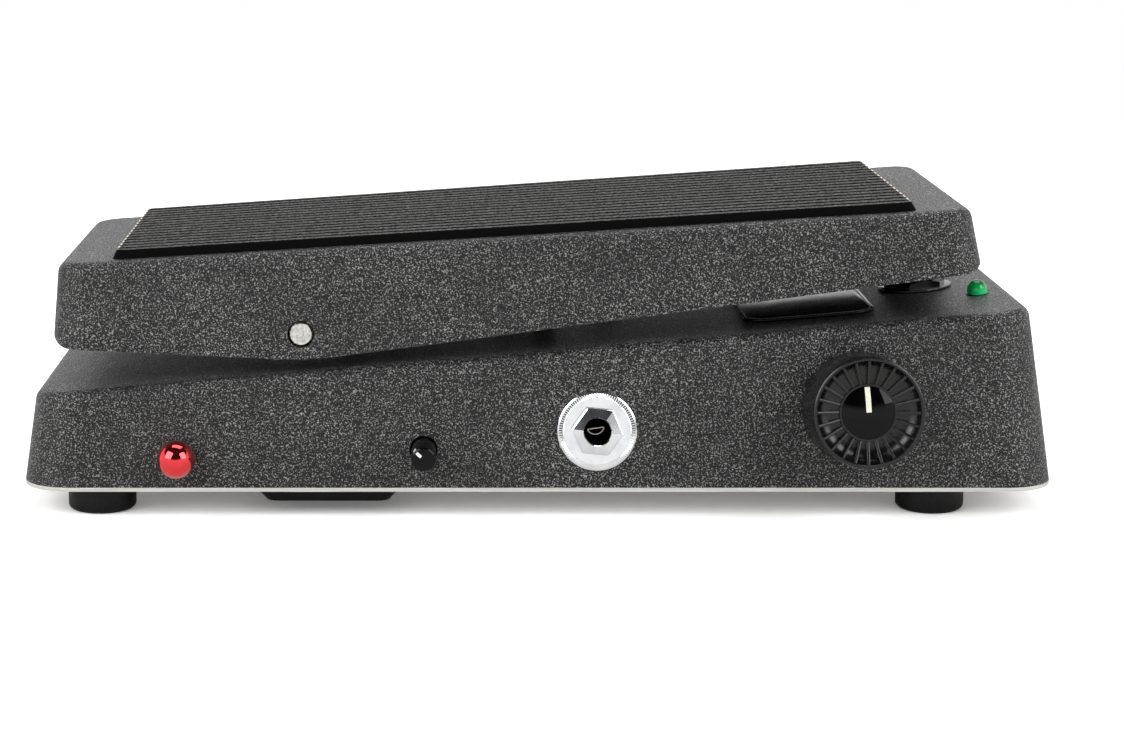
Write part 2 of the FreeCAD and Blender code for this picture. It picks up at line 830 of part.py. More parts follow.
def pivot_bracket():
    """The zinc-plated steel saddle on the top face, with two ears for the rod's bushes."""
    height = rod_height()
    half = bracket_length / 2
    parts = [box(-half, half, -bracket_half_width, bracket_half_width, 0, bracket_thickness)]
    for y0 in (ear_inside, -ear_inside - bracket_thickness):
        parts.append(box(-ear_radius, ear_radius, y0, y0 + bracket_thickness, 0, height))
        parts.append(cylinder(ear_radius, (0, y0, height), ACROSS, bracket_thickness))
    body = joined(parts)
    seats = cylinder(bush_radius + snug_clearance / 2, (0, -bracket_half_width, height), ACROSS,
                     2 * bracket_half_width)
    body = body.cut(seats)
    for x, y in bracket_screw_places():
        hole = cylinder(bracket_screw_radius + screw_clearance, (x, y, -1), UP, bracket_thickness + 2)
        body = body.cut(hole)
    return placed(body, bracket_frame())


def pivot_bushes():
    """Two flanged nylon bushes in the bracket's ears."""
    height = rod_height()
    solids = []
    for side in (-1, 1):
        y0 = side * ear_inside
        outward = ACROSS * side
        tube = cylinder(bush_radius, (0, y0, height), outward, bracket_thickness + bush_flange)
        flange = cylinder(bush_flange_radius, (0, side * (ear_inside + bracket_thickness), height),
                          outward, bush_flange)
        bore = cylinder(rod_radius + running_clearance, (0, -bracket_half_width, height), ACROSS,
                        2 * bracket_half_width)
        solids.append(placed(joined([tube, flange]).cut(bore), bracket_frame()))
    return Part.makeCompound(solids)


def bracket_screws():
    length = bracket_thickness + casting_top_wall
    one = screw(bracket_screw_radius, length, bracket_screw_head_radius, bracket_screw_head)
    solids = []
    for x, y in bracket_screw_places():
        solids.append(placed(placed(one, floor_frame(x, y, bracket_thickness)), bracket_frame()))
    return Part.makeCompound(solids)


def involute_gear():
    """The pinion's outline: involute flanks from the root to the tip, on the local z axis."""
    base_radius = pitch_radius * math.cos(math.radians(tooth_pressure_angle))

    def roll(radius):
        if radius <= base_radius:
            return 0.0
        t = math.sqrt((radius / base_radius) ** 2 - 1)
        return t - math.atan(t)

    half_tooth = (math.pi * tooth_module / 2 - tooth_backlash) / (2 * pitch_radius) + roll(pitch_radius)
    radii = [root_radius, base_radius, (base_radius + tip_radius) / 2, tip_radius]

    def at(radius, angle):
        return V(radius * math.cos(angle), radius * math.sin(angle), 0)

    edges = []
    step = 2 * math.pi / tooth_count
    for i in range(tooth_count):
        middle = i * step
        left = [at(r, middle - half_tooth + roll(r)) for r in radii]
        right = [at(r, middle + half_tooth - roll(r)) for r in reversed(radii)]
        following = at(root_radius, middle + step - half_tooth)
        valley = at(root_radius, middle + step / 2)
        edges.append(Part.LineSegment(left[0], left[1]).toShape())
        edges.append(Part.Arc(left[1], left[2], left[3]).toShape())
        edges.append(Part.Arc(left[3], at(tip_radius, middle), right[0]).toShape())
        edges.append(Part.Arc(right[0], right[1], right[2]).toShape())
        edges.append(Part.LineSegment(right[2], right[3]).toShape())
        edges.append(Part.Arc(right[3], valley, following).toShape())
    return Part.Face(Part.Wire(edges))


def shaft_frame():
    """Local z along +Y on the pinion's axis, local x to the toe end."""
    turn = FreeCAD.Rotation(ALONG, V(0, 0, -1), ACROSS, "ZXY")
    return FreeCAD.Placement(V(pinion_x(), 0, pinion_z), turn)


def pinion_gear():
    """The moulded pinion: a tooth space faces the rack tooth that lies at the axis height."""
    wheel = involute_gear().extrude(V(0, 0, pinion_face))
    wheel.rotate(V(0, 0, 0), UP, 180.0 - 180.0 / tooth_count)
    wheel.translate(V(0, 0, -pinion_face / 2))
    hub = cylinder(pinion_hub_radius, (0, 0, -pinion_face / 2 - pinion_hub), UP, pinion_face / 2)
    gear = joined([wheel, hub])
    bore = cylinder(pot_shaft_radius + running_clearance, (0, 0, -pinion_face * 2), UP, pinion_face * 4)
    return placed(gear.cut(bore), shaft_frame())


def pot_face_y():
    """The pot bracket's face on the pot's side."""
    return rack_thickness / 2 + pot_nut_gap + pot_nut_thickness + pot_bracket_thickness


def pot_shaft():
    """The pot's shaft, from inside its body to just past the pinion's hub."""
    front = pinion_face / 2 + pinion_hub + 1
    return placed(cylinder(pot_shaft_radius, (0, 0, -front), UP, front + pot_face_y() + pot_depth / 2),
                  shaft_frame())


def pot_body():
    """The pot's round can with its threaded bushing and a row of solder tags."""
    can = cylinder(pot_radius, (0, 0, pot_face_y()), UP, pot_depth)
    can = can.makeFillet(1.0, [max(can.Edges, key=lambda e: e.BoundBox.ZMin)])
    front = pot_face_y() - pot_bracket_thickness - pot_nut_thickness
    bushing = cylinder(pot_bushing_radius, (0, 0, front), UP, pot_face_y() - front + 1)
    tags = [box(pot_radius - 2, pot_radius + 5, y - 1, y + 1, pot_face_y() + 1, pot_face_y() + 1.8)
            for y in (-4, 0, 4)]
    body = joined([can, bushing] + tags)
    bore = cylinder(pot_shaft_radius + running_clearance, (0, 0, front - 1), UP,
                    pot_face_y() - front + 1 + pot_depth / 2 + free_clearance)
    return placed(body.cut(bore), shaft_frame())


def pot_nut():
    nut = hexagon_nut(pot_nut_flats, pot_bushing_radius + thread_clearance, pot_nut_thickness)
    nut.rotate(V(0, 0, 0), ALONG, 180)
    nut.translate(V(0, 0, pot_face_y() - pot_bracket_thickness))
    return placed(nut, shaft_frame())


def pot_bracket():
    """The bent steel bracket under the top face that carries the pot and the rack's guide."""
    face_y = pot_face_y()
    x0 = -pot_bracket_heel_reach
    x1 = pot_bracket_toe_reach
    under = -casting_top_wall
    wall = box(x0, x1, face_y - pot_bracket_thickness, face_y, under - pot_bracket_drop, under)
    flange = box(x0, x1, face_y - pot_bracket_thickness, face_y + pot_bracket_flange,
                 under - pot_bracket_thickness, under)
    body = joined([wall, flange])
    for x, y in pot_bracket_screw_places():
        radius = bracket_screw_radius + thread_clearance
        body = body.cut(cylinder(radius, (x, y, under - 3), UP, 6))
    body = placed(body, top_frame(pinion_x()))
    hole = placed(cylinder(pot_bushing_radius + snug_clearance, (0, 0, 0), UP, 3 * face_y), shaft_frame())
    body = body.cut(hole)
    pegs = []
    for z in guide_peg_heights():
        radius = guide_back / 4 + snug_clearance
        pegs.append(cylinder(radius, (guide_peg_x(), 0, z), ACROSS, 3 * face_y))
    return body.cut(Part.makeCompound(pegs))


def pot_bracket_screws():
    length = casting_top_wall + pot_bracket_thickness
    one = screw(bracket_screw_radius, length, bracket_screw_head_radius, bracket_screw_head)
    solids = []
    for x, y in pot_bracket_screw_places():
        solids.append(placed(placed(one, floor_frame(x, y, 0)), top_frame(pinion_x())))
    return Part.makeCompound(solids)


def guide_peg_x():
    return rack_x() - rack_half_depth - snug_clearance - guide_back / 2


def guide_peg_heights():
    return (pinion_z - guide_height / 4, pinion_z + guide_height / 4)


def rack_guide():
    """The nylon channel behind the rack, pegged to the pot bracket."""
    front = rack_x() - rack_half_depth - snug_clearance
    side = rack_thickness / 2 + snug_clearance
    outer = pot_face_y() - pot_bracket_thickness
    z0 = pinion_z - guide_height / 2
    z1 = pinion_z + guide_height / 2
    block = box(front - guide_back, front + guide_arm_reach, -outer, outer, z0, z1)
    channel = box(front, front + guide_arm_reach + 1, -side, side, z0 - 1, z1 + 1)
    pegs = [cylinder(guide_back / 4, (guide_peg_x(), outer - 1, z), ACROSS, pot_bracket_thickness + 2)
            for z in guide_peg_heights()]
    return joined([block.cut(channel)] + pegs)


def rack_slot_middle():
    """Middle and half length of the rack eye's slot, from the pin's swing over the whole travel."""
    places = [treadle_point(rack_arm, rack_pin_height, tilt)[0]
              for tilt in (rest_tilt + heel_travel, rest_tilt, rest_tilt - toe_travel)]
    return (min(places) + max(places)) / 2, (max(places) - min(places)) / 2 + free_clearance


def rack():
    """The nylon rack: a toothed bar with a long eye for the treadle's pin."""
    x = rack_x()
    front = x + rack_half_depth
    root = front - tooth_addendum - tooth_dedendum
    pin_z = rack_pin_z()
    side = rack_thickness / 2
    eye_bottom = pin_z - rack_eye_height / 2
    bar = box(x - rack_half_depth, root, -side, side, rack_bottom, eye_bottom + 1)
    pitch = math.pi * tooth_module
    slope = math.tan(math.radians(tooth_pressure_angle))
    half_pitch_line = (pitch - tooth_backlash) / 4
    half_tip = half_pitch_line - tooth_addendum * slope
    half_root = half_pitch_line + tooth_dedendum * slope
    teeth = []
    teeth_below = int((pinion_z - rack_bottom - half_root) / pitch)
    for i in range(-teeth_below, rack_teeth_above + 1):
        z = pinion_z + i * pitch
        outline = [V(root, -side, z - half_root), V(front, -side, z - half_tip),
                   V(front, -side, z + half_tip), V(root, -side, z + half_root)]
        inner = [V(root - 1, -side, z + half_root), V(root - 1, -side, z - half_root)]
        wire = Part.makePolygon(outline + inner + [outline[0]])
        teeth.append(Part.Face(wire).extrude(V(0, 2 * side, 0)))
    top_of_teeth = pinion_z + (rack_teeth_above + 0.5) * pitch
    upper = box(x - rack_half_depth, front, -side, side, top_of_teeth, eye_bottom + 1)
    middle, reach = rack_slot_middle()
    slot_radius = rack_pin_radius + free_clearance / 2
    eye_reach = reach + slot_radius + rack_eye_wall
    eye = slab(middle - eye_reach, middle + eye_reach, eye_bottom, eye_bottom + rack_eye_height,
               rack_eye_height / 2 - 0.5, -side, side)
    eye.rotate(V(0, 0, 0), ALONG, 90)
    body = joined([bar, upper, eye] + teeth)
    slot = joined([
        cylinder(slot_radius, (middle - reach, -side - 1, pin_z), ACROSS, rack_thickness + 2),
        cylinder(slot_radius, (middle + reach, -side - 1, pin_z), ACROSS, rack_thickness + 2),
        box(middle - reach, middle + reach, -side - 1, side + 1, pin_z - slot_radius, pin_z + slot_radius),
    ])
    return body.cut(slot)


def clevis_pin():
    """The headed pin through the treadle's ears and the rack's eye."""
    outer = rack_thickness / 2 + lug_gap + lug_thickness
    shank = cylinder(rack_pin_radius, (rack_arm, -outer - 2, rack_pin_height), ACROSS, 2 * outer + 2)
    head = cylinder(rack_pin_head_radius, (rack_arm, outer, rack_pin_height), ACROSS, rack_pin_head)
    groove = cylinder(rack_pin_radius + 1, (rack_arm, -outer - 1, rack_pin_height), ACROSS, 0.7)
    core = cylinder(rack_pin_radius - 0.4, (rack_arm, -outer - 2, rack_pin_height), ACROSS, 3)
    return placed(joined([shank, head]).cut(groove.cut(core)), treadle_frame())


def clevis_clip():
    """The spring clip in the pin's groove."""
    outer = rack_thickness / 2 + lug_gap + lug_thickness
    inner_radius = rack_pin_radius - 0.4 + running_clearance
    ring = cylinder(rack_pin_head_radius, (rack_arm, -outer - 0.95, rack_pin_height), ACROSS, 0.6)
    ring = ring.cut(cylinder(inner_radius, (rack_arm, -outer - 2, rack_pin_height), ACROSS, 3))
    mouth = box(rack_arm - inner_radius, rack_arm + inner_radius, -outer - 2, -outer + 1,
                rack_pin_height - 2 * rack_pin_head_radius, rack_pin_height)
    return placed(ring.cut(mouth), treadle_frame())


def heel_bumpers():
    """Two rubber buffers on the treadle's posts that land on the base at the heel limit."""
    bottom = heel_post_bottom()
    solids = []
    for x, y in heel_bumper_places():
        pad = cylinder(heel_bumper_radius, (x, y, bottom), UP, heel_bumper_thickness)
        edge = min(pad.Edges, key=lambda e: e.BoundBox.ZMax)
        solids.append(placed(pad.makeFillet(1.2, [edge]), treadle_frame()))
    return Part.makeCompound(solids)


def toe_bumper_x():
    """The treadle's place above the toe switch."""
    return toe_switch_x - pivot_x


def toe_bumper():
    """The rubber pad under the treadle that presses the toe switch."""
    bottom = ceiling_level - toe_bumper_thickness
    pad = cylinder(toe_bumper_radius, (toe_bumper_x(), 0, bottom), UP, toe_bumper_thickness)
    edge = min(pad.Edges, key=lambda e: e.BoundBox.ZMax)
    pad = pad.makeFillet(0.8, [edge])
    limit = treadle_toe_reach - treadle_wall - ceiling_level * treadle_end_slope - free_clearance
    return placed(pad.common(box(0, limit, -50, 50, 0, 50)), treadle_frame())


def jack_body():
    """An enclosed phone jack: a black case with its threaded barrel and the plug's bore."""
    back = -casting_wall - jack_body_depth
    case = box(-jack_body_half_width, jack_body_half_width, -jack_body_half_height,
               jack_body_half_height, back, -casting_wall - snug_clearance)
    uprights = [e for e in case.Edges if e.BoundBox.ZLength > jack_body_depth / 2]
    case = case.makeFillet(1.0, uprights)
    barrel = cylinder(jack_bushing_radius, (0, 0, -casting_wall - 1), UP,
                      casting_wall + 1 + jack_bushing_reach)
    low = jack_tag_thickness - jack_body_half_height
    tags = [box(x - jack_tag_width / 2, x + jack_tag_width / 2, low, low + jack_tag_thickness,
                back - jack_tag_length, back + 1) for x in (-jack_tag_pitch, 0, jack_tag_pitch)]
    body = joined([case, barrel] + tags)
    bore = cylinder(jack_bore_radius, (0, 0, jack_bushing_reach - jack_bore_depth), UP,
                    jack_bore_depth + 1)
    return body.cut(bore)


def jack_washer():
    """The dress washer under the jack's nut."""
    ring = cylinder(jack_washer_radius, (0, 0, 0), UP, jack_washer_thickness)
    edge = [e for e in ring.Edges if e.BoundBox.ZMin > jack_washer_thickness / 2]
    ring = ring.makeChamfer(0.25, edge)
    return ring.cut(cylinder(jack_bushing_radius + thread_clearance, (0, 0, -1), UP, 3))


def jack_frames():
    return [near_wall_frame(jack_x, jack_z), far_wall_frame(jack_x, jack_z)]


def jack_washers():
    return Part.makeCompound([placed(jack_washer(), frame) for frame in jack_frames()])


def jack_nuts():
    nut = hexagon_nut(jack_nut_flats, jack_bushing_radius + thread_clearance, jack_nut_thickness)
    nut.rotate(V(0, 0, 0), UP, jack_nut_turn)
    nut.translate(V(0, 0, jack_washer_thickness))
    return Part.makeCompound([placed(nut, frame) for frame in jack_frames()])


def power_jack():
    """The battery eliminator socket: a barrel socket with a centre pin."""
    back = -casting_wall - power_body_depth
    case = box(-power_body_half_width, power_body_half_width, -power_body_half_height,
               power_body_half_height, back, -casting_wall - snug_clearance)
    barrel = cylinder(power_bushing_radius, (0, 0, -casting_wall - 1), UP,
                      casting_wall + 1 + power_reach)
    rim = max(barrel.Edges, key=lambda e: e.BoundBox.ZMin)
    barrel = barrel.makeFillet(0.4, [rim])
    body = joined([case, barrel])
    bore = cylinder(power_bore_radius, (0, 0, power_reach - power_bore_depth), UP, power_bore_depth + 1)
    pin = cylinder(power_pin_radius, (0, 0, power_reach - power_bore_depth - 1), UP, power_bore_depth)
    return placed(joined([body.cut(bore), pin]), far_wall_frame(power_x, power_z))


def range_switch():
    """The rotary switch's body with its bushing and a ring of solder pins."""
    back = -casting_wall - range_body_depth
    can = cylinder(range_body_radius, (0, 0, back), UP, range_body_depth - snug_clearance)
    bushing = cylinder(range_bushing_radius, (0, 0, -casting_wall - 1), UP,
                       casting_wall + 1 + range_bushing_reach)
    pins = []
    for i in range(12):
        a = math.radians(30 * i)
        place = (0.8 * range_body_radius * math.cos(a), 0.8 * range_body_radius * math.sin(a),
                 back - range_pin_length)
        pins.append(cylinder(range_pin_radius, place, UP, range_pin_length + 1))
    body = joined([can, bushing] + pins)
    bore = cylinder(range_shaft_radius + running_clearance, (0, 0, -casting_wall - 8), UP, 40)
    return placed(body.cut(bore), near_wall_frame(range_x, range_z))


def range_switch_nut():
    nut = hexagon_nut(range_nut_flats, range_bushing_radius + thread_clearance, range_nut_thickness)
    return placed(nut, near_wall_frame(range_x, range_z))


def range_shaft():
    shaft = cylinder(range_shaft_radius, (0, 0, -casting_wall - 7), UP, casting_wall + 7 + range_shaft_reach)
    return placed(shaft, near_wall_frame(range_x, range_z))


def knob_front():
    return knob_gap + knob_depth


def turned(points):
    """A solid of revolution about the local z axis from (radius, height) points."""
    outline = [V(r, 0, z) for r, z in points]
    return Part.Face(Part.makePolygon(outline + [outline[0]])).revolve(V(0, 0, 0), UP, 360)


def range_knob():
    """The round black knob: a thin rim, a dished face with fine radial ribs and a seat for its cap."""
    front = knob_front()
    floor = front - knob_dish_depth
    rim = knob_front_radius - knob_rim
    edge = 0.5
    body = turned([(0, knob_gap), (knob_back_radius - edge, knob_gap),
                   (knob_back_radius, knob_gap + edge), (knob_front_radius, front - edge),
                   (knob_front_radius - edge, front), (rim, front),
                   (rim - 0.6, floor + 0.8), (knob_cap_radius + 1.5, floor),
                   (knob_cap_radius, floor), (0, floor)])
    ribs = []
    for i in range(knob_rib_count):
        rib = Part.makePolygon([V(knob_cap_radius - 0.5, -knob_rib_width / 2, floor - 0.5),
                                V(rim, -knob_rib_width / 2, floor - 0.5),
                                V(rim, -knob_rib_width / 2, front - 0.6),
                                V(knob_cap_radius - 0.5, -knob_rib_width / 2, floor + 0.9),
                                V(knob_cap_radius - 0.5, -knob_rib_width / 2, floor - 0.5)])
        solid = Part.Face(rib).extrude(V(0, knob_rib_width, 0))
        solid.rotate(V(0, 0, 0), UP, 360.0 / knob_rib_count * i)
        ribs.append(solid)
    body = joined([body] + ribs)
    recess = cylinder(knob_back_recess_radius, (0, 0, 0), UP, knob_gap + knob_back_recess)
    bore = cylinder(range_shaft_radius + running_clearance, (0, 0, 0), UP, range_shaft_reach + free_clearance)
    seat = cylinder(knob_cap_radius + snug_clearance, (0, 0, floor - 1), UP, knob_dish_depth + 2)
    body = body.cut(recess.fuse(bore)).cut(seat)
    return placed(body, near_wall_frame(range_x, range_z))


def range_knob_cap():
    """The glossy domed cap pressed into the knob's face."""
    floor = knob_front() - knob_dish_depth - 1
    height = 1 + knob_cap_rise
    sphere_radius = (knob_cap_radius ** 2 + 1.1 ** 2) / (2 * 1.1)
    disc = cylinder(knob_cap_radius, (0, 0, floor), UP, height)
    ball = Part.makeSphere(sphere_radius, V(0, 0, floor + height - sphere_radius))
    return placed(disc.common(ball), near_wall_frame(range_x, range_z))


def boost_pot_front():
    """The boost pot's face behind the wall, along the level axis from the wall's outer face."""
    inner = casting_wall / math.cos(math.radians(casting_draft)) + boost_pot_size / 2 * draft_slope
    return -inner - boost_pot_gap


def boost_frame():
    return near_wall_frame(boost_knob_x, boost_knob_z, 0)


def boost_pot():
    """The small square pot for the boost level."""
    front = boost_pot_front()
    half = boost_pot_size / 2
    case = box(-half, half, -half - 1, half, front - boost_pot_depth, front)
    bore = cylinder(boost_knob_radius / 2 + running_clearance, (0, 0, front - 4), UP, 10)
    back = front - boost_pot_depth
    pins = [cylinder(boost_pin_radius, (x, boost_pin_radius - half, back - boost_pin_length), UP,
                     boost_pin_length + 1) for x in (-boost_pin_pitch, 0, boost_pin_pitch)]
    return placed(joined([case] + pins).cut(bore), boost_frame())


def boost_knob():
    """The glossy black spindle that is the boost level knob, with a groove for its pointer."""
    reach = -boost_knob_front_y - wall_y(boost_knob_z)
    front = boost_pot_front()
    rod = cylinder(boost_knob_radius, (0, 0, front + free_clearance), UP, reach - front - free_clearance)
    rod = rod.makeFillet(0.5, [max(rod.Edges, key=lambda e: e.BoundBox.ZMin)])
    spindle = cylinder(boost_knob_radius / 2, (0, 0, front - 3), UP, 5)
    return placed(joined([rod, spindle]), boost_frame())


def button_frame():
    return near_wall_frame(button_x, button_z)


def boost_button():
    """The round-nosed metallic red push cap with its neck through the wall."""
    body = cylinder(button_radius, (0, 0, button_back), UP, button_straight - button_back)
    body = body.makeFillet(0.5, [min(body.Edges, key=lambda e: e.BoundBox.ZMax)])
    nose = Part.makeSphere(button_radius, V(0, 0, button_straight))
    neck = cylinder(button_neck_radius, (0, 0, -casting_wall - 4), UP, casting_wall + 5 + button_back)
    half = box(-20, 20, -20, 20, button_straight - 0.01, 40)
    return placed(joined([body, nose.common(half), neck]), button_frame())


def boost_switch():
    """The push switch behind the wall, with a well for the button's neck."""
    half = button_switch_size / 2
    front = -casting_wall - snug_clearance
    case = box(-half, half, -half, half, front - button_switch_depth, front)
    well = cylinder(button_neck_radius + snug_clearance, (0, 0, front - 4 - button_travel - 0.5), UP, 20)
    back = front - button_switch_depth
    pins = [box(x - button_pin_width / 2, x + button_pin_width / 2, -button_pin_thickness / 2,
                button_pin_thickness / 2, back - 3, back + 1)
            for x in (-button_pin_pitch, 0, button_pin_pitch)]
    return placed(joined([case.cut(well)] + pins), button_frame())


def toe_switch():
    """The latching foot switch: a case under the top face and a threaded bushing through it."""
    half = toe_switch_size / 2
    back = -casting_top_wall - toe_switch_depth
    case = box(-half, half, -half, half, back, -casting_top_wall - snug_clearance)
    bushing = cylinder(toe_bushing_radius, (0, 0, -casting_top_wall - 1), UP,
                       casting_top_wall + 1 + toe_bushing_reach)
    rim = max(bushing.Edges, key=lambda e: e.BoundBox.ZMin)
    bushing = bushing.makeChamfer(0.5, [rim])
    steps = (-toe_tag_pitch, 0, toe_tag_pitch)
    tags = [box(x - toe_tag_width / 2, x + toe_tag_width / 2, y - toe_tag_thickness / 2,
                y + toe_tag_thickness / 2, back - toe_tag_length, back + 1) for x in steps for y in steps]
    body = joined([case, bushing] + tags)
    well = cylinder(plunger_radius + snug_clearance, (0, 0, plunger_seat - plunger_travel - 0.5), UP, 40)
    return placed(body.cut(well), top_frame(toe_switch_x))


def toe_switch_nut():
    """The nut and its flat washer on the foot switch's bushing, as one fastener."""
    bore = toe_bushing_radius + thread_clearance
    washer = cylinder(toe_washer_radius, (0, 0, 0), UP, toe_washer_thickness)
    washer = washer.cut(cylinder(bore, (0, 0, -1), UP, 3))
    nut = hexagon_nut(toe_nut_flats, bore, toe_nut_thickness)
    nut.translate(V(0, 0, toe_washer_thickness))
    return placed(Part.makeCompound([washer, nut]), top_frame(toe_switch_x))


def plunger_top():
    """The plunger's height over the top face: it meets the treadle's pad at the toe limit."""
    bottom = ceiling_level - toe_bumper_thickness
    tilt = rest_tilt - toe_travel
    x, z = treadle_point(toe_bumper_x(), bottom, tilt)
    lean = math.radians(top_angle - tilt)
    return (z - top_z(x)) * math.cos(math.radians(top_angle)) - plunger_radius * abs(lean) - free_clearance


def toe_switch_plunger():
    rod = cylinder(plunger_radius, (0, 0, plunger_seat), UP, plunger_top() - plunger_seat)
    rim = max(rod.Edges, key=lambda e: e.BoundBox.ZMin)
    rod = rod.makeFillet(1.0, [rim])
    return placed(rod, top_frame(toe_switch_x))


def status_lamp():
    """The green dome lamp with its inner flange and two leads."""
    barrel = cylinder(lamp_radius, (0, 0, -casting_top_wall - 1), UP,
                      casting_top_wall + 1 + lamp_dome_base)
    dome = Part.makeSphere(lamp_radius, V(0, 0, lamp_dome_base))
    dome = dome.common(box(-9, 9, -9, 9, lamp_dome_base - 0.01, 9))
    flange = cylinder(lamp_flange_radius, (0, 0, -casting_top_wall - 1), UP, 1 - snug_clearance)
    leads = [cylinder(lamp_lead_radius, (x, 0, -casting_top_wall - 1 - lamp_below), UP, lamp_below + 0.5)
             for x in (-lamp_lead_pitch / 2, lamp_lead_pitch / 2)]
    return placed(joined([barrel, dome, flange] + leads), top_frame(lamp_x, lamp_y))


def name_plate():
    """A bare glossy plate on the top face, between the rack and the toe switch."""
    half = badge_length / 2
    plate = slab(-half, half, -badge_half_width, badge_half_width, badge_corner_radius, 0, badge_thickness)
    return placed(plate, top_frame(badge_x))


def battery_box():
    """The battery's moulded box: five walls, a flange on the floor plate and two hinge ears."""
    x0 = box_centre_x - box_half_width
    x1 = box_centre_x + box_half_width
    outer = box(x0, x1, box_near_y, box_far_y, plate_top, box_top)
    flange = box(x0 - box_flange, x1 + box_flange, box_near_y - box_flange / 4,
                 box_far_y + box_flange, plate_top, plate_top + box_flange_thickness)
    body = joined([outer, flange])
    inside = box(x0 + box_wall, x1 - box_wall, box_near_y + box_wall, box_far_y - box_wall,
                 plate_top - 1, box_top - box_wall)
    body = body.cut(inside)
    ears = []
    for side in (-1, 0, 1):
        x = box_centre_x + side * door_knuckle_pitch / 2
        ear = box(x - 1.5, x + 1.5, door_hinge_y - door_knuckle_radius, box_far_y - box_wall / 2,
                  door_hinge_z, plate_top + door_ear_height)
        tip = cylinder(door_knuckle_radius, (x - 1.5, door_hinge_y, door_hinge_z), ALONG, 3)
        shelf = box(x - 2, x + 2, box_far_y - box_wall - snug_clearance - 0.01, box_far_y, 0, plate_top)
        ears.append(joined([ear, tip]).cut(shelf))
    body = joined([body] + ears)
    pin = cylinder(door_pin_radius + snug_clearance, (x0, door_hinge_y, door_hinge_z), ALONG,
                   2 * box_half_width)
    lead_hole = cylinder(lead_hole_radius, (x1 - 2 * box_wall, lead_lane_y(), lead_height), ALONG,
                         3 * box_wall)
    return body.cut(pin).cut(lead_hole)


def door_knuckle_places():
    """Knuckle middles, one each side of the middle ear."""
    step = door_knuckle_pitch / 4
    return [box_centre_x - step, box_centre_x + step]


def battery_door():
    """The bulging battery door under the floor plate, with its hinge knuckles and catch."""
    top = plate_bottom - door_gap
    middle = (door_near_y + door_far_y) / 2
    half = (door_far_y - door_near_y) / 2
    taper = door_half_width_at_plate - door_half_width_below

    def outline(z, shrink):
        return rounded_wire(-door_half_width_at_plate + shrink, door_half_width_at_plate - shrink,
                            half - shrink / 2, door_corner_radius, z)

    shell = Part.makeLoft([outline(door_bottom, taper), outline(top, 0)], True, True)
    floor = door_bottom + door_panel
    hollow = Part.makeLoft([outline(floor, taper + 1), outline(top + 1, door_panel)], True, True)
    tray = placed(shell.cut(hollow), floor_frame(box_centre_x, middle, 0))
    parts = [tray]
    for x in door_knuckle_places():
        x0 = x - door_knuckle_width / 2
        parts.append(cylinder(door_knuckle_radius, (x0, door_hinge_y, door_hinge_z), ALONG, door_knuckle_width))
        parts.append(box(x0, x0 + door_knuckle_width, door_far_y - door_panel, door_hinge_y,
                         door_hinge_z - door_knuckle_radius, door_hinge_z))
    catch = box_near_y + box_wall + free_clearance
    parts.append(box(box_centre_x - door_tab_width / 2, box_centre_x + door_tab_width / 2, catch,
                     catch + 1.2, floor - 0.5, plate_top + box_flange_thickness))
    body = joined(parts)
    pin = cylinder(door_pin_radius + snug_clearance, (box_centre_x - box_half_width, door_hinge_y,
                   door_hinge_z), ALONG, 2 * box_half_width)
    return body.cut(pin)


def door_pad():
    """The foam pad in the door that holds the battery up."""
    margin = box_wall + door_pad_margin
    return slab(box_centre_x - box_half_width + margin, box_centre_x + box_half_width - margin,
                box_near_y + box_wall + 3 * door_pad_margin, door_far_y - 2 * door_pad_margin, 1.5,
                door_bottom + door_panel, battery_bottom - 0.1)


def door_pin():
    reach = door_knuckle_pitch / 2 + 3
    return cylinder(door_pin_radius, (box_centre_x - reach, door_hinge_y, door_hinge_z), ALONG, 2 * reach)


def battery_far_y():
    return battery_near_y + battery_length


def stud_places():
    z = battery_bottom + battery_height / 2
    return [(box_centre_x - battery_stud_pitch / 2, z), (box_centre_x + battery_stud_pitch / 2, z)]


def battery():
    """A nine-volt block battery lying on its side, with its two studs."""
    half = battery_width / 2
    case = box(box_centre_x - half, box_centre_x + half, battery_near_y, battery_far_y(),
               battery_bottom, battery_bottom + battery_height)
    edges = [e for e in case.Edges if e.BoundBox.YLength > battery_length / 2]
    case = case.makeFillet(1.8, edges)
    studs = [cylinder(battery_stud_radius, (x, battery_far_y() - 0.5, z), ACROSS,
                      battery_stud_height + 0.5) for x, z in stud_places()]
    return joined([case] + studs)


def battery_snap():
    """The snap-on connector over the battery's studs."""
    y0 = battery_far_y() + snap_gap
    half = battery_width / 2 - snap_margin
    z = battery_bottom + battery_height / 2
    cap = box(box_centre_x - half, box_centre_x + half, y0, y0 + snap_thickness, z - snap_height / 2,
              z + snap_height / 2)
    edges = [e for e in cap.Edges if e.BoundBox.YLength > snap_thickness / 2]
    cap = cap.makeFillet(2.0, edges)
    wells = [cylinder(battery_stud_radius + snug_clearance, (x, y0 - 1, z), ACROSS,
                      battery_stud_height + 1.2) for x, z in stud_places()]
    return cap.cut(Part.makeCompound(wells))


def circuit_board():
    """The board on its four cast posts."""
    board = box(board_heel_x, board_toe_x, board_near_y, board_far_y, board_z, board_z + board_thickness)
    for x, y in board_corners():
        radius = board_screw_radius + screw_clearance
        board = board.cut(cylinder(radius, (x, y, board_z - 1), UP, board_thickness + 2))
    return board


def board_screws():
    one = screw(board_screw_radius, board_screw_length, board_screw_head_radius, board_screw_head)
    one.rotate(V(0, 0, 0), ALONG, 180)
    return Part.makeCompound([placed(one, floor_frame(x, y, board_z)) for x, y in board_corners()])


def board_place(across, along):
    """A point on the board's upper face, in shares of its length and width."""
    x = board_heel_x + (board_toe_x - board_heel_x) * across
    y = board_near_y + (board_far_y - board_near_y) * along
    return x, y, board_z + board_thickness


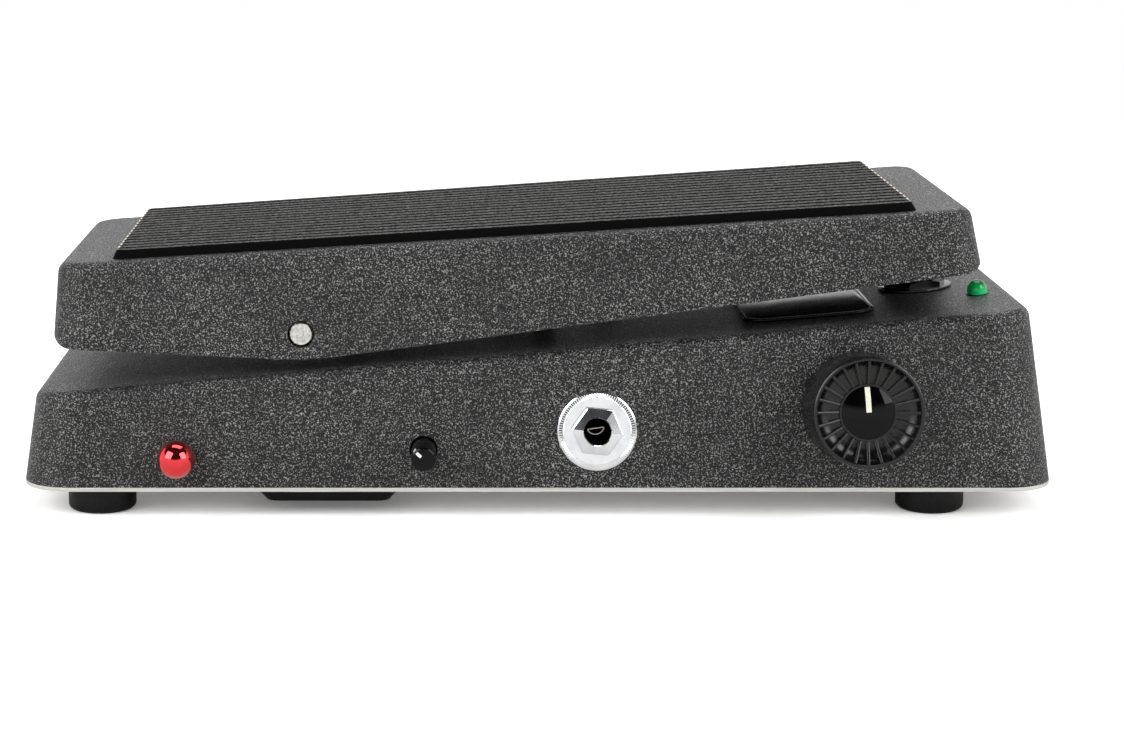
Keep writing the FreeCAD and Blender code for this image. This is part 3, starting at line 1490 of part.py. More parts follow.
def inductor():
    """The wah's coil in its round can."""
    x, y, z = board_place(0.3, 0.62)
    can = cylinder(coil_radius, (x, y, z), UP, coil_height)
    return can.makeFillet(1.0, [max(can.Edges, key=lambda e: e.BoundBox.ZMin)])


def capacitors():
    """Two round electrolytics and four film blocks."""
    solids = []
    for across, along in ((0.62, 0.2), (0.74, 0.36)):
        x, y, z = board_place(across, along)
        can = cylinder(electrolytic_radius, (x, y, z), UP, electrolytic_height)
        solids.append(can.makeFillet(0.6, [max(can.Edges, key=lambda e: e.BoundBox.ZMin)]))
    for i in range(4):
        x, y, z = board_place(0.42 + 0.11 * i, 0.82)
        solids.append(box(x - film_length / 2, x + film_length / 2, y - film_width / 2,
                          y + film_width / 2, z, z + film_height))
    return Part.makeCompound(solids)


def resistors():
    """A row of small axial resistors lying on the board."""
    solids = []
    for i in range(8):
        x, y, z = board_place(0.19 + 0.05 * i, 0.16)
        level = z + resistor_radius
        body = cylinder(resistor_radius, (x, y - resistor_length / 2, level), ACROSS, resistor_length)
        reach = resistor_leg_reach + resistor_lead_radius
        lead = cylinder(resistor_lead_radius, (x, y - reach, level), ACROSS, 2 * reach)
        leg_near = cylinder(resistor_leg_radius, (x, y - resistor_leg_reach, z), UP, resistor_radius)
        leg_far = cylinder(resistor_leg_radius, (x, y + resistor_leg_reach, z), UP, resistor_radius)
        solids.append(joined([body, lead, leg_near, leg_far]))
    return Part.makeCompound(solids)


def transistors():
    """Two half-round transistors on three short legs."""
    solids = []
    for along in (0.48, 0.64):
        x, y, z = board_place(0.66, along)
        level = z + transistor_leg_height
        body = cylinder(transistor_radius, (x, y, level), UP, transistor_height)
        body = body.cut(box(x - 2 * transistor_radius, x + 2 * transistor_radius, y + transistor_flat,
                            y + 2 * transistor_radius, z, level + 2 * transistor_height))
        legs = [cylinder(transistor_leg_radius, (x + d, y, z), UP, transistor_leg_height + 0.5)
                for d in (-transistor_leg_pitch, 0, transistor_leg_pitch)]
        solids.append(joined([body] + legs))
    return Part.makeCompound(solids)


def wire(points):
    """A round wire along straight runs with bends of one radius, from hand-set points."""
    p = [V(*q) for q in points]
    edges = []
    last = p[0]
    for i in range(1, len(p) - 1):
        start, middle, end = rounded_corner(p[i - 1], p[i], p[i + 1], wire_bend)
        edges.append(Part.LineSegment(last, start).toShape())
        edges.append(Part.Arc(start, middle, end).toShape())
        last = end
    edges.append(Part.LineSegment(last, p[-1]).toShape())
    path = Part.Wire(edges)
    direction = (p[1] - p[0]).normalize()
    section = Part.Wire([Part.makeCircle(wire_radius, p[0], direction)])
    return path.makePipeShell([section], True, False)


def lead_lane_y():
    """The battery lead's lane, inside the box beyond the snap and then under the sweep pot."""
    return battery_far_y() + snap_gap + snap_thickness + wire_bend + snug_clearance


def hookup_wires():
    """The twin battery lead and one lead from each jack to the board."""
    on_board = board_z + board_thickness
    lane = lead_lane_y()
    low = plate_top + 2 * wire_radius
    exit_x = box_centre_x + box_half_width + 2 * wire_bend
    end_x = board_heel_x + 5
    end_y = lane - 2 * wire_bend - snug_clearance
    battery_lead = [(box_centre_x, battery_far_y() + snap_gap + snap_thickness, lead_height),
                    (box_centre_x, lane, lead_height), (exit_x, lane, lead_height),
                    (exit_x, lane, low), (end_x, lane, low), (end_x, end_y, low),
                    (end_x, end_y, board_z)]
    back = casting_wall + jack_body_depth
    tag = near_wall_frame(jack_x, jack_z).multVec(V(0, 0, -back - snug_clearance))
    turn_y = tag.y + 2 * wire_bend
    input_lead = [(tag.x, tag.y, tag.z), (tag.x, turn_y, tag.z), (board_heel_x + 4, turn_y, tag.z),
                  (board_heel_x + 4, turn_y, on_board)]
    side = jack_x + jack_body_half_width
    far_y = board_far_y + 1.5 * wire_bend
    end_x = board_heel_x + 3 * wire_bend
    output_lead = [(side, far_y, jack_z), (end_x, far_y, jack_z), (end_x, board_far_y - wire_bend, jack_z),
                   (end_x, board_far_y - wire_bend, on_board)]
    return Part.makeCompound([wire(route) for route in (battery_lead, input_lead, output_lead)])


def footprint_shift():
    """How far the pieces move in Y so that the footprint is centred on the origin."""
    c = math.cos(math.radians(casting_draft))
    s = math.sin(math.radians(casting_draft))
    near = wall_y(range_z) + knob_front() * c + (knob_front_radius - 0.5) * s
    far = wall_y(jack_z) + jack_bushing_reach * c + jack_bushing_radius * s
    far_edge = max(far, half_width)
    return (near - far_edge) / 2


def pieces():
    """Every piece of the pedal by name."""
    found = {
        "base_casting": base_casting(),
        "bottom_plate": bottom_plate(),
        "foot_washers": foot_washers(),
        "foot_screws": foot_screws(),
        "battery_box": battery_box(),
        "battery_block": battery(),
        "battery_snap": battery_snap(),
        "battery_door": battery_door(),
        "battery_door_pad": door_pad(),
        "battery_door_pin": door_pin(),
        "treadle_casting": treadle_casting(),
        "tread_mat": tread_mat(),
        "pivot_rod": pivot_rod(),
        "rod_set_screws": set_screws(),
        "pivot_bracket": pivot_bracket(),
        "pivot_bushes": pivot_bushes(),
        "pivot_bracket_screws": bracket_screws(),
        "clevis_pin": clevis_pin(),
        "clevis_clip": clevis_clip(),
        "heel_bumpers": heel_bumpers(),
        "toe_bumper": toe_bumper(),
        "rack": rack(),
        "rack_guide": rack_guide(),
        "pinion_gear": pinion_gear(),
        "sweep_pot_shaft": pot_shaft(),
        "sweep_pot": pot_body(),
        "sweep_pot_nut": pot_nut(),
        "pot_bracket": pot_bracket(),
        "pot_bracket_screws": pot_bracket_screws(),
        "circuit_board": circuit_board(),
        "board_screws": board_screws(),
        "inductor": inductor(),
        "capacitors": capacitors(),
        "resistors": resistors(),
        "transistors": transistors(),
        "input_jack": placed(jack_body(), jack_frames()[0]),
        "output_jack": placed(jack_body(), jack_frames()[1]),
        "jack_washers": jack_washers(),
        "jack_nuts": jack_nuts(),
        "power_jack": power_jack(),
        "range_switch": range_switch(),
        "range_switch_nut": range_switch_nut(),
        "range_switch_shaft": range_shaft(),
        "range_knob": range_knob(),
        "range_knob_cap": range_knob_cap(),
        "boost_pot": boost_pot(),
        "boost_knob": boost_knob(),
        "boost_switch": boost_switch(),
        "boost_button": boost_button(),
        "toe_switch": toe_switch(),
        "toe_switch_nut": toe_switch_nut(),
        "toe_switch_plunger": toe_switch_plunger(),
        "status_lamp": status_lamp(),
        "name_plate": name_plate(),
        "hookup_wires": hookup_wires(),
    }
    names = ("foot_heel_near", "foot_heel_far", "foot_toe_near", "foot_toe_far")
    for name, (x, y) in zip(names, foot_places()):
        found[name] = placed(foot(), floor_frame(x, y, 0))
    return found


os.makedirs("parts", exist_ok=True)
origin_move = floor_frame(0, footprint_shift(), 0)
for name, shape in pieces().items():
    moved = placed(shape, origin_move)
    moved.exportStep(f"parts/{name}.step")
    print(name, "solids", len(moved.Solids), "valid", moved.isValid(), "volume", round(moved.Volume, 1))
print("footprint shift", round(footprint_shift(), 4))
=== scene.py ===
import math

import bmesh
import bpy
from mathutils import Matrix, Vector


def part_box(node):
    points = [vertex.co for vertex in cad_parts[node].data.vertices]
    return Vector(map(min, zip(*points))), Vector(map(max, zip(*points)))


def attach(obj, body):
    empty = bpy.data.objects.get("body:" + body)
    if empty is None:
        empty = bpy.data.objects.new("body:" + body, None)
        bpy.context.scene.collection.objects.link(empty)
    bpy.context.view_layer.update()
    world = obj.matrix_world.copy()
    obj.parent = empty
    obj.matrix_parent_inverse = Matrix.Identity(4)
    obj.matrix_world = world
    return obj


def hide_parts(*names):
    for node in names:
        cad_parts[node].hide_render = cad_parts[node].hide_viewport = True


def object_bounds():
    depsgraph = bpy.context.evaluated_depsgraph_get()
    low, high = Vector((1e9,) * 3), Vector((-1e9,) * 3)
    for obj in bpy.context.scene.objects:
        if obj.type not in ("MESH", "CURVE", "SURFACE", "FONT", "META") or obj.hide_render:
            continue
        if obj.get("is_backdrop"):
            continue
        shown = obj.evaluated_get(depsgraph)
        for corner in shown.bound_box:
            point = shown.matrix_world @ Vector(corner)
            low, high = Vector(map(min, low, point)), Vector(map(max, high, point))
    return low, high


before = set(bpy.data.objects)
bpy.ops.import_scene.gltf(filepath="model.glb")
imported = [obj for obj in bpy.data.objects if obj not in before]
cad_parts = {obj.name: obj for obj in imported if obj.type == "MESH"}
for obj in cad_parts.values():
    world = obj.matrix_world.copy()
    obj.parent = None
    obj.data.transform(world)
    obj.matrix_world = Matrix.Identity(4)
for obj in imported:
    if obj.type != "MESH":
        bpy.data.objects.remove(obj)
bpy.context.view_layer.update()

scene = bpy.context.scene

# Camera. A long lens in front of the input side, looking a little down, shifted sideways as the
# photograph is framed. The photograph is 1124 x 749.
MM = 0.001
casting_half_width = 50.8
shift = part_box("base_casting")[0].y / MM + casting_half_width
camera_place = (-22.708, shift - 690.025, 165.87)
camera = bpy.data.objects.new("camera", bpy.data.cameras.new("camera"))
scene.collection.objects.link(camera)
camera.location = Vector(camera_place) * MM
camera.rotation_euler = (math.radians(78.537), 0, 0)
camera.data.sensor_width = 36
camera.data.lens = 86.24
camera.data.shift_x = 0.1033
scene.camera = camera
scene.view_settings.view_transform = "Standard"


# Studio. A white table top that runs off into a white background, with two big soft boxes in front,
# left and right, and a third one above. The floor keeps the pedal's shadow.
def paint(hex_colour):
    """sRGB hex to the linear colour that a shader reads."""
    shares = [int(hex_colour[i:i + 2], 16) / 255 for i in (0, 2, 4)]
    return (*[s / 12.92 if s <= 0.04045 else ((s + 0.055) / 1.055) ** 2.4 for s in shares], 1)


def add(owner, kind, inputs=(), stops=(), **settings):
    """Adds a shader node with its settings, colour stops, and values or links for its inputs."""
    made = owner.node_tree.nodes.new(kind)
    for name, value in settings.items():
        setattr(made, name, value)
    for name, value in dict(inputs).items():
        if isinstance(value, bpy.types.NodeSocket):
            owner.node_tree.links.new(value, made.inputs[name])
        else:
            made.inputs[name].default_value = value
    for i, (place, colour) in enumerate(stops):
        stop = made.color_ramp.elements[i] if i < 2 else made.color_ramp.elements.new(place)
        stop.position = place
        stop.color = paint(colour)
    return made


floor_size = 1.7
floor_white = "e6e5e3"
floor_lift = 0.12
floor_seen = 1.5
bm = bmesh.new()
bmesh.ops.create_grid(bm, x_segments=1, y_segments=1, size=floor_size / 2)
mesh = bpy.data.meshes.new("table_top")
bm.to_mesh(mesh)
bm.free()
table_top = bpy.data.objects.new("table_top", mesh)
scene.collection.objects.link(table_top)
table_paint = bpy.data.materials.new("white_laminate")
table_paint.use_nodes = True
table_paint.node_tree.nodes.clear()
rays = add(table_paint, "ShaderNodeLightPath")
lift = add(table_paint, "ShaderNodeMath", {0: rays.outputs["Is Camera Ray"], 1: floor_lift},
           operation="MULTIPLY")
seen_white = add(table_paint, "ShaderNodeMix",
                 {0: rays.outputs["Is Camera Ray"], 6: paint(floor_white),
                  7: (floor_seen, floor_seen, floor_seen, 1)}, data_type="RGBA")
matt = add(table_paint, "ShaderNodeBsdfDiffuse", {"Color": seen_white.outputs[2]})
glow = add(table_paint, "ShaderNodeEmission", {"Strength": lift.outputs[0]})
both = add(table_paint, "ShaderNodeAddShader", {0: matt.outputs[0], 1: glow.outputs[0]})
add(table_paint, "ShaderNodeOutputMaterial", {"Surface": both.outputs[0]})
mesh.materials.append(table_paint)
table_top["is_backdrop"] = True

mirrored_light, room_light = 1.0, 0.5
bright_below, dim_above, front_share = 0.46, 0.6, -0.35
room = bpy.data.worlds.new("studio")
scene.world = room
room.use_nodes = True
room.node_tree.nodes.clear()
way = add(room, "ShaderNodeTexCoord").outputs["Generated"]
parts = add(room, "ShaderNodeSeparateXYZ", {0: way})
front = add(room, "ShaderNodeMath", {0: parts.outputs["Y"], 1: front_share, 2: parts.outputs["Z"]},
            operation="MULTIPLY_ADD")
height = add(room, "ShaderNodeValToRGB", {"Fac": front.outputs[0]},
             stops=((bright_below, "ffffff"), (dim_above, "3c3c3c")))
path = add(room, "ShaderNodeLightPath")
power = add(room, "ShaderNodeMapRange",
            {"Value": path.outputs["Is Diffuse Ray"], "To Min": mirrored_light, "To Max": room_light})
seen = add(room, "ShaderNodeBackground", {"Color": (1, 1, 1, 1), "Strength": 1.0})
walls = add(room, "ShaderNodeBackground", {"Color": height.outputs[0], "Strength": power.outputs[0]})
mixed = add(room, "ShaderNodeMixShader",
            {0: path.outputs["Is Camera Ray"], 1: walls.outputs[0], 2: seen.outputs[0]})
add(room, "ShaderNodeOutputWorld", {"Surface": mixed.outputs[0]})

for name, spot, size, power in (("soft_box_left", (-1.15, -1.05, 1.0), 1.2, 22.0),
                                ("soft_box_right", (1.2, -0.95, 0.95), 1.05, 16.0),
                                ("soft_box_top", (0.1, 0.5, 1.5), 1.2, 12.0)):
    lamp = bpy.data.lights.new(name, "AREA")
    lamp.size = size
    lamp.energy = power
    box = bpy.data.objects.new(name, lamp)
    box.location = spot
    box.rotation_euler = (-Vector(spot)).to_track_quat("-Z", "Y").to_euler()
    scene.collection.objects.link(box)


# Base casting. Die-cast aluminium with drafted walls and round edges, sprayed with black wrinkle
# powder. The coat dries to a fine leathery grain that glitters salt-and-pepper in soft light; the
# pale specks of that glitter are painted glints on the grain's own dark tone.
def surface(name, colour, roughness, **sockets):
    """A material whose shader starts from one colour and roughness; sockets are set on the shader."""
    made = bpy.data.materials.new(name)
    made.use_nodes = True
    shader = made.node_tree.nodes["Principled BSDF"]
    shader.inputs["Base Color"].default_value = paint(colour)
    shader.inputs["Roughness"].default_value = roughness
    for socket, value in sockets.items():
        shader.inputs[socket.replace("_", " ")].default_value = value
    return made, shader


def link(material, shader, colour, gloss, relief):
    """Links a colour, a roughness and a bump to a material's shader."""
    for socket, source in (("Base Color", colour), ("Roughness", gloss), ("Normal", relief)):
        material.node_tree.links.new(source, shader.inputs[socket])


def dress(finish, *nodes):
    """Gives carried-over CAD pieces their finish."""
    for node in nodes:
        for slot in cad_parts[node].material_slots:
            slot.material = finish


wrinkle_grain = 0.36
wrinkle_pits = 0.9
shade_patch = 18.0
powder_coat, shader = surface("wrinkle_powder_coat", "1c1b1b", 0.5, Specular_IOR_Level=0.4)
spot = add(powder_coat, "ShaderNodeTexCoord").outputs["Object"]
grain = add(powder_coat, "ShaderNodeTexNoise",
            {"Vector": spot, "Scale": 1000 / wrinkle_grain, "Detail": 1.5, "Roughness": 0.6})
pits = add(powder_coat, "ShaderNodeTexVoronoi", {"Vector": spot, "Scale": 1000 / wrinkle_pits},
           feature="SMOOTH_F1")
drift = add(powder_coat, "ShaderNodeTexNoise", {"Vector": spot, "Scale": 1000 / shade_patch, "Detail": 2.0})
# The grain's colour: its own near-black tone, with pale specks that are painted glints.
grain_and_painted_glints = add(powder_coat, "ShaderNodeValToRGB", {"Fac": grain.outputs["Fac"]},
              stops=((0.43, "020202"), (0.65, "a0a09f"), (0.55, "171717")))
shade = add(powder_coat, "ShaderNodeValToRGB", {"Fac": drift.outputs["Fac"]},
            stops=((0.3, "d2d2d2"), (0.7, "ffffff")))
coat = add(powder_coat, "ShaderNodeMix", {0: 1.0, 6: grain_and_painted_glints.outputs[0], 7: shade.outputs[0]},
           data_type="RGBA", blend_type="MULTIPLY")
gloss = add(powder_coat, "ShaderNodeMapRange",
            {"Value": grain.outputs["Fac"], "From Min": 0.3, "From Max": 0.7, "To Min": 0.55, "To Max": 0.32})
lumps = add(powder_coat, "ShaderNodeMath", {0: grain.outputs["Fac"], 1: pits.outputs["Distance"]},
            operation="ADD")
relief = add(powder_coat, "ShaderNodeBump",
             {"Height": lumps.outputs[0], "Strength": 0.9, "Distance": 0.00016})
link(powder_coat, shader, coat.outputs[2], gloss.outputs[0], relief.outputs[0])
dress(powder_coat, "base_casting", "treadle_casting")


# Floor plate. Bare sheet steel, rolled and clear-lacquered, screwed under the base with the feet. Its
# cut edge shows as a bright line all round, and its face has faint rolling marks along the pedal.
def textured(name, dark, light, roughness, grain_mm, depth_mm, stretch=(1, 1, 1), spread=0.08, **sockets):
    """A material with a fine grain: two near colours, an uneven gloss and a small relief."""
    made, shader = surface(name, light, roughness, **sockets)
    spot = add(made, "ShaderNodeTexCoord").outputs["Object"]
    turned_to = add(made, "ShaderNodeMapping", {"Vector": spot, "Scale": stretch})
    noise = add(made, "ShaderNodeTexNoise",
                {"Vector": turned_to.outputs[0], "Scale": 1000 / grain_mm, "Detail": 3.0, "Roughness": 0.55})
    tint = add(made, "ShaderNodeValToRGB", {"Fac": noise.outputs["Fac"]}, stops=((0.32, dark), (0.68, light)))
    gloss = add(made, "ShaderNodeMapRange",
                {"Value": noise.outputs["Fac"], "From Min": 0.3, "From Max": 0.7,
                 "To Min": max(roughness - spread, 0.02), "To Max": roughness + spread})
    relief = add(made, "ShaderNodeBump", {"Height": noise.outputs["Fac"], "Distance": depth_mm / 1000})
    link(made, shader, tint.outputs[0], gloss.outputs[0], relief.outputs[0])
    return made


rolled_steel = textured("rolled_sheet_steel", "d9d7d3", "f2f1ee", 0.24, 0.5, 0.004,
                        stretch=(0.03, 1, 1), Metallic=1.0)
dress(rolled_steel, "bottom_plate")


# Feet. Four round moulded rubber feet with a counterbore for the screw and its washer. Black rubber
# with a soft sheen, a little chalky from handling.
def seat(x, y, z, right=(1, 0, 0), out=(0, 0, 1)):
    """Where a piece sits: its local millimetres, x to the right and z outwards, to the frame's metres."""
    out = Vector(out).normalized()
    right = Vector(right).normalized()
    turn = Matrix((right, out.cross(right), out)).transposed().to_4x4()
    return Matrix.Scale(MM, 4) @ Matrix.Translation((x, y, z)) @ turn


def rounded(bm, radius, steps=2, sharper_than=28):
    """Rounds every edge of a mesh that is sharper than an angle."""
    bmesh.ops.recalc_face_normals(bm, faces=bm.faces)
    limit = math.radians(sharper_than)
    sharp = [e for e in bm.edges if e.is_manifold and e.calc_face_angle(0) > limit]
    bmesh.ops.bevel(bm, geom=sharp, offset=radius, offset_type="OFFSET", segments=steps, profile=0.5,
                    affect="EDGES", clamp_overlap=True, material=-1)


def turned(points, steps=64, round_by=0.0):
    """A lathe-turned solid about the local z axis from (radius, height) points."""
    bm = bmesh.new()
    verts = [bm.verts.new((r, 0, z)) for r, z in points]
    edges = [bm.edges.new(pair) for pair in zip(verts, verts[1:])]
    if points[0][0] > 0:
        edges.append(bm.edges.new((verts[-1], verts[0])))
    bmesh.ops.spin(bm, geom=verts + edges, axis=(0, 0, 1), cent=(0, 0, 0), angle=math.tau, steps=steps,
                   use_merge=True)
    bmesh.ops.remove_doubles(bm, verts=bm.verts, dist=MM)
    if round_by:
        rounded(bm, round_by)
    return bm


def fitted(bm, name, where, finish, body, slot, *nodes, crisp=32):
    """Closes a piece's mesh, sets it in its seat, finishes it and lets it ride on its body."""
    bmesh.ops.remove_doubles(bm, verts=bm.verts, dist=MM)
    bmesh.ops.recalc_face_normals(bm, faces=bm.faces)
    bmesh.ops.transform(bm, matrix=where, verts=bm.verts)
    mesh = bpy.data.meshes.new(name)
    bm.to_mesh(mesh)
    bm.free()
    mesh.materials.append(finish)
    mesh.shade_smooth()
    mesh.set_sharp_from_angle(angle=math.radians(crisp))
    piece = bpy.data.objects.new(name, mesh)
    scene.collection.objects.link(piece)
    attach(piece, body)
    if nodes:
        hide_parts(*nodes)
    return piece


foot_rubber = textured("moulded_foot_rubber", "060606", "131212", 0.42, 0.8, 0.02,
                       Specular_IOR_Level=0.25)
foot_profile = ((2.25, 4.0), (5.0, 4.0), (5.0, 0.0), (7.5, 0.0), (8.4, 0.9), (8.4, 7.0), (2.25, 7.0))
for name in ("foot_heel_near", "foot_heel_far", "foot_toe_near", "foot_toe_far"):
    low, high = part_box(name)
    middle = (low + high) / 2 / MM
    fitted(turned(foot_profile, round_by=0.35), name + "_rubber", seat(middle.x, middle.y, 0), foot_rubber,
           "base", "foot_rubber", name)

zinc_plate = textured("bright_zinc_plate", "aab0b6", "dfe3e6", 0.3, 1.4, 0.004, Metallic=1.0)
dress(zinc_plate, "foot_washers", "foot_screws", "board_screws", "pot_bracket", "sweep_pot_nut")


# Battery compartment. A moulded ABS box on the floor plate with a bulging hinged door, a foam pad in
# the door, and a nine-volt block with its snap. Black ABS with a light spark-eroded texture.
black_abs = textured("moulded_black_abs", "030303", "0a0a0a", 0.4, 0.5, 0.012, Specular_IOR_Level=0.2)
dress(black_abs, "battery_box", "battery_door")
dress(zinc_plate, "battery_door_pin")
jacket = textured("printed_tin_jacket", "23262b", "343940", 0.34, 6.0, 0.003, Metallic=0.6)
dress(jacket, "battery_block")
snap_vinyl = textured("snap_vinyl", "101010", "1e1d1d", 0.5, 0.6, 0.015)
dress(snap_vinyl, "battery_snap")

foam = textured("open_cell_foam", "17171a", "3a3a3e", 0.95, 0.7, 0.25, Specular_IOR_Level=0.2)
low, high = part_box("battery_door_pad")
reach = (high - low) / MM
centre = (high + low) / 2 / MM
bm = bmesh.new()
bmesh.ops.create_cube(bm, size=1)
bmesh.ops.scale(bm, vec=(reach.x - 1, reach.y - 1, reach.z - 0.2), verts=bm.verts)
bmesh.ops.subdivide_edges(bm, edges=bm.edges, cuts=9, use_grid_fill=True)
for vert in bm.verts:
    inward = 1 - (2 * vert.co.x / reach.x) ** 4 * 0.5 - (2 * vert.co.y / reach.y) ** 4 * 0.5
    vert.co.z *= 0.86 + 0.14 * inward
    vert.co.y += 0.25 * math.sin(vert.co.x * 0.9) * (abs(vert.co.y) > reach.y * 0.45)
rounded(bm, 0.7, steps=3, sharper_than=50)
pad = fitted(bm, "door_foam_pad", seat(*centre), foam, "battery_hatch", "foam", "battery_door_pad", crisp=60)


# Treadle mat. Moulded ribbed rubber sheet, cut to length on a slant and glued to the treadle. The rib
# tops are a little worn, mottled pale partly by that wear and partly as a painted sheen; the furrows
# and sides are a darker copy of the rubber as painted shade; and a pale line along the cut's upper
# edge is a painted highlight.
tilt = math.radians(3.7)
pivot = (-58.1, shift, 44.9)
along_treadle = (math.cos(tilt), 0, math.sin(tilt))
out_of_treadle = (-math.sin(tilt), 0, math.cos(tilt))
treadle_seat = seat(*pivot, along_treadle, out_of_treadle)

mat_start, mat_end, mat_half = -45.4, 151.6, 38.0
mat_level, mat_sheet, rib_height = 20.25, 1.1, 1.2
mat_slant, mat_corner, mat_taper = 0.55, 2.2, math.radians(1.3)
highlight_line_width = 0.4
groove_count, groove_pitch, groove_width = 16, 4.65, 1.9
shoulder_round, mat_grain = 0.12, 0.7
# Extra material slots: a pale painted highlight along the cut ends, and a darker copy of the rubber painted
# as shade in the furrows and sides.
edge_highlight_slot, furrow_shade_slot = 1, 2


def verts_of(geometry):
    """The vertices among what a bmesh operator made."""
    return [g for g in geometry if isinstance(g, bmesh.types.BMVert)]


bm = bmesh.new()
strips = 2 * groove_count + 1
bmesh.ops.create_grid(bm, x_segments=1, y_segments=strips, size=1)
edges_across = [-mat_half]
for i in range(groove_count):
    middle = (i - (groove_count - 1) / 2) * groove_pitch
    edges_across += [middle - groove_width / 2, middle + groove_width / 2]
edges_across.append(mat_half)
for vert in bm.verts:
    row = round((vert.co.y + 1) / 2 * strips)
    vert.co = (mat_start if vert.co.x < 0 else mat_end, edges_across[row], mat_level + mat_sheet)
ribs = [f for f in bm.faces if sum(edge < f.calc_center_median().y for edge in edges_across) % 2]
raised = bmesh.ops.extrude_discrete_faces(bm, faces=ribs)["faces"]
bmesh.ops.translate(bm, vec=(0, 0, rib_height), verts=[v for f in raised for v in f.verts])
bmesh.ops.remove_doubles(bm, verts=bm.verts, dist=MM)
rim = [e for e in bm.edges if e.is_boundary]
skirt = bmesh.ops.extrude_edge_only(bm, edges=rim)["geom"]
bmesh.ops.translate(bm, vec=(0, 0, -mat_sheet), verts=verts_of(skirt))
loose = [g for g in skirt if isinstance(g, bmesh.types.BMEdge) and g.is_boundary]
bmesh.ops.contextual_create(bm, geom=loose)
bmesh.ops.recalc_face_normals(bm, faces=bm.faces)
corners = [e for e in bm.edges if abs(e.verts[0].co.z - e.verts[1].co.z) > 0.5
           and all(abs(v.co.y) > mat_half - 0.01 and min(v.co.x - mat_start, mat_end - v.co.x) < 0.01
                   for v in e.verts)]
bmesh.ops.bevel(bm, geom=corners, offset=mat_corner, offset_type="OFFSET", segments=6, profile=0.5,
                affect="EDGES", clamp_overlap=True, material=-1)
for vert in bm.verts:
    end = mat_start if vert.co.x < (mat_start + mat_end) / 2 else mat_end
    vert.co.x -= math.copysign(mat_slant * (vert.co.z - mat_level), end)
rib_level = mat_level + mat_sheet + rib_height
shoulders = [e for e in bm.edges if min(v.co.z for v in e.verts) > rib_level - 0.1
             and abs(e.verts[0].co.y - e.verts[1].co.y) < 0.01 and e.is_manifold]
bmesh.ops.bevel(bm, geom=shoulders, offset=shoulder_round, offset_type="OFFSET", segments=2,
                profile=0.5, affect="EDGES", clamp_overlap=True, material=-1)
slant_reach = mat_slant * (rib_level - mat_level)
highlight_start = mat_start + slant_reach + highlight_line_width
highlight_end = mat_end - slant_reach - highlight_line_width
for line in (highlight_start, highlight_end):
    bmesh.ops.bisect_plane(bm, geom=bm.verts[:] + bm.edges[:] + bm.faces[:], plane_co=(line, 0, 0),
                           plane_no=(1, 0, 0))
# Faces below the rib tops take the darker rubber as painted shade; rib-top faces past the highlight lines
# take the pale painted highlight.
for face in bm.faces:
    middle = face.calc_center_median()
    if middle.z < rib_level - 0.1:
        face.material_index = furrow_shade_slot
    elif not highlight_start < middle.x < highlight_end:
        face.material_index = edge_highlight_slot
for vert in bm.verts:
    vert.co.y *= 1 + vert.co.x * math.tan(mat_taper) / mat_half
mat_rubber, shader = surface("ribbed_mat_rubber", "141313", 0.5, Specular_IOR_Level=0.3)
spot = add(mat_rubber, "ShaderNodeTexCoord").outputs["Object"]
# The rib tops' pale mottling: partly wear on the rubber, partly a painted sheen.
wear_and_painted_sheen = add(mat_rubber, "ShaderNodeTexNoise",
            {"Vector": spot, "Scale": 1000 / mat_grain, "Detail": 4.0, "Roughness": 0.75})
tint = add(mat_rubber, "ShaderNodeValToRGB", {"Fac": wear_and_painted_sheen.outputs["Fac"]},
           stops=((0.45, "020202"), (0.6, "5c5a58")))
gloss = add(mat_rubber, "ShaderNodeMapRange",
            {"Value": wear_and_painted_sheen.outputs["Fac"], "From Min": 0.3, "From Max": 0.7, "To Min": 0.95, "To Max": 0.3})
relief = add(mat_rubber, "ShaderNodeBump",
             {"Height": wear_and_painted_sheen.outputs["Fac"], "Strength": 1.0, "Distance": 0.0003})
link(mat_rubber, shader, tint.outputs[0], gloss.outputs[0], relief.outputs[0])
mat = fitted(bm, "ribbed_mat", treadle_seat, mat_rubber, "treadle", "mat_rubber", "tread_mat")
# The pale painted highlight for the cut ends, then the darker rubber painted as shade for the furrows and
# sides.
mat.data.materials.append(textured("painted_edge_highlight_rubber", "d8cdb4", "f4ead4", 0.6, 0.6, 0.01))
mat.data.materials.append(textured("furrow_painted_shade_rubber", "020202", "0a0a0a", 0.85, 0.6, 0.02,
                                   Specular_IOR_Level=0.08))


# Pivot. A ground steel rod locked in the treadle by two set screws, turning in nylon bushes in a
# zinc-plated pressed bracket. The rod's faced ends show a bright turned face.
ground_steel = textured("ground_steel", "b8b7b4", "f0efec", 0.2, 0.6, 0.006, spread=0.1, Metallic=1.0)
rod_radius, rod_reach = 2.95, 44.1
rod_end = ((0.5, rod_reach - 0.15), (rod_radius - 0.35, rod_reach), (rod_radius, rod_reach - 0.35))
rod_profile = [(0, -rod_reach)] + [(r, -z) for r, z in rod_end] + list(reversed(rod_end)) + [(0, rod_reach)]
fitted(turned(rod_profile, steps=48), "ground_rod", seat(*pivot, along_treadle, (0, 1, 0)), ground_steel,
       "treadle", "bare_steel", "pivot_rod")
black_oxide = textured("black_oxide_steel", "0c0c0d", "1d1d1f", 0.4, 0.9, 0.006, Metallic=0.7)
dress(black_oxide, "rod_set_screws", "pivot_bracket_screws", "pot_bracket_screws")
dress(zinc_plate, "pivot_bracket", "clevis_pin", "clevis_clip")
nylon = textured("natural_nylon", "cfcabb", "e6e1d3", 0.45, 1.2, 0.01)
dress(nylon, "pivot_bushes", "rack_guide")
dress(foot_rubber, "heel_bumpers", "toe_bumper")


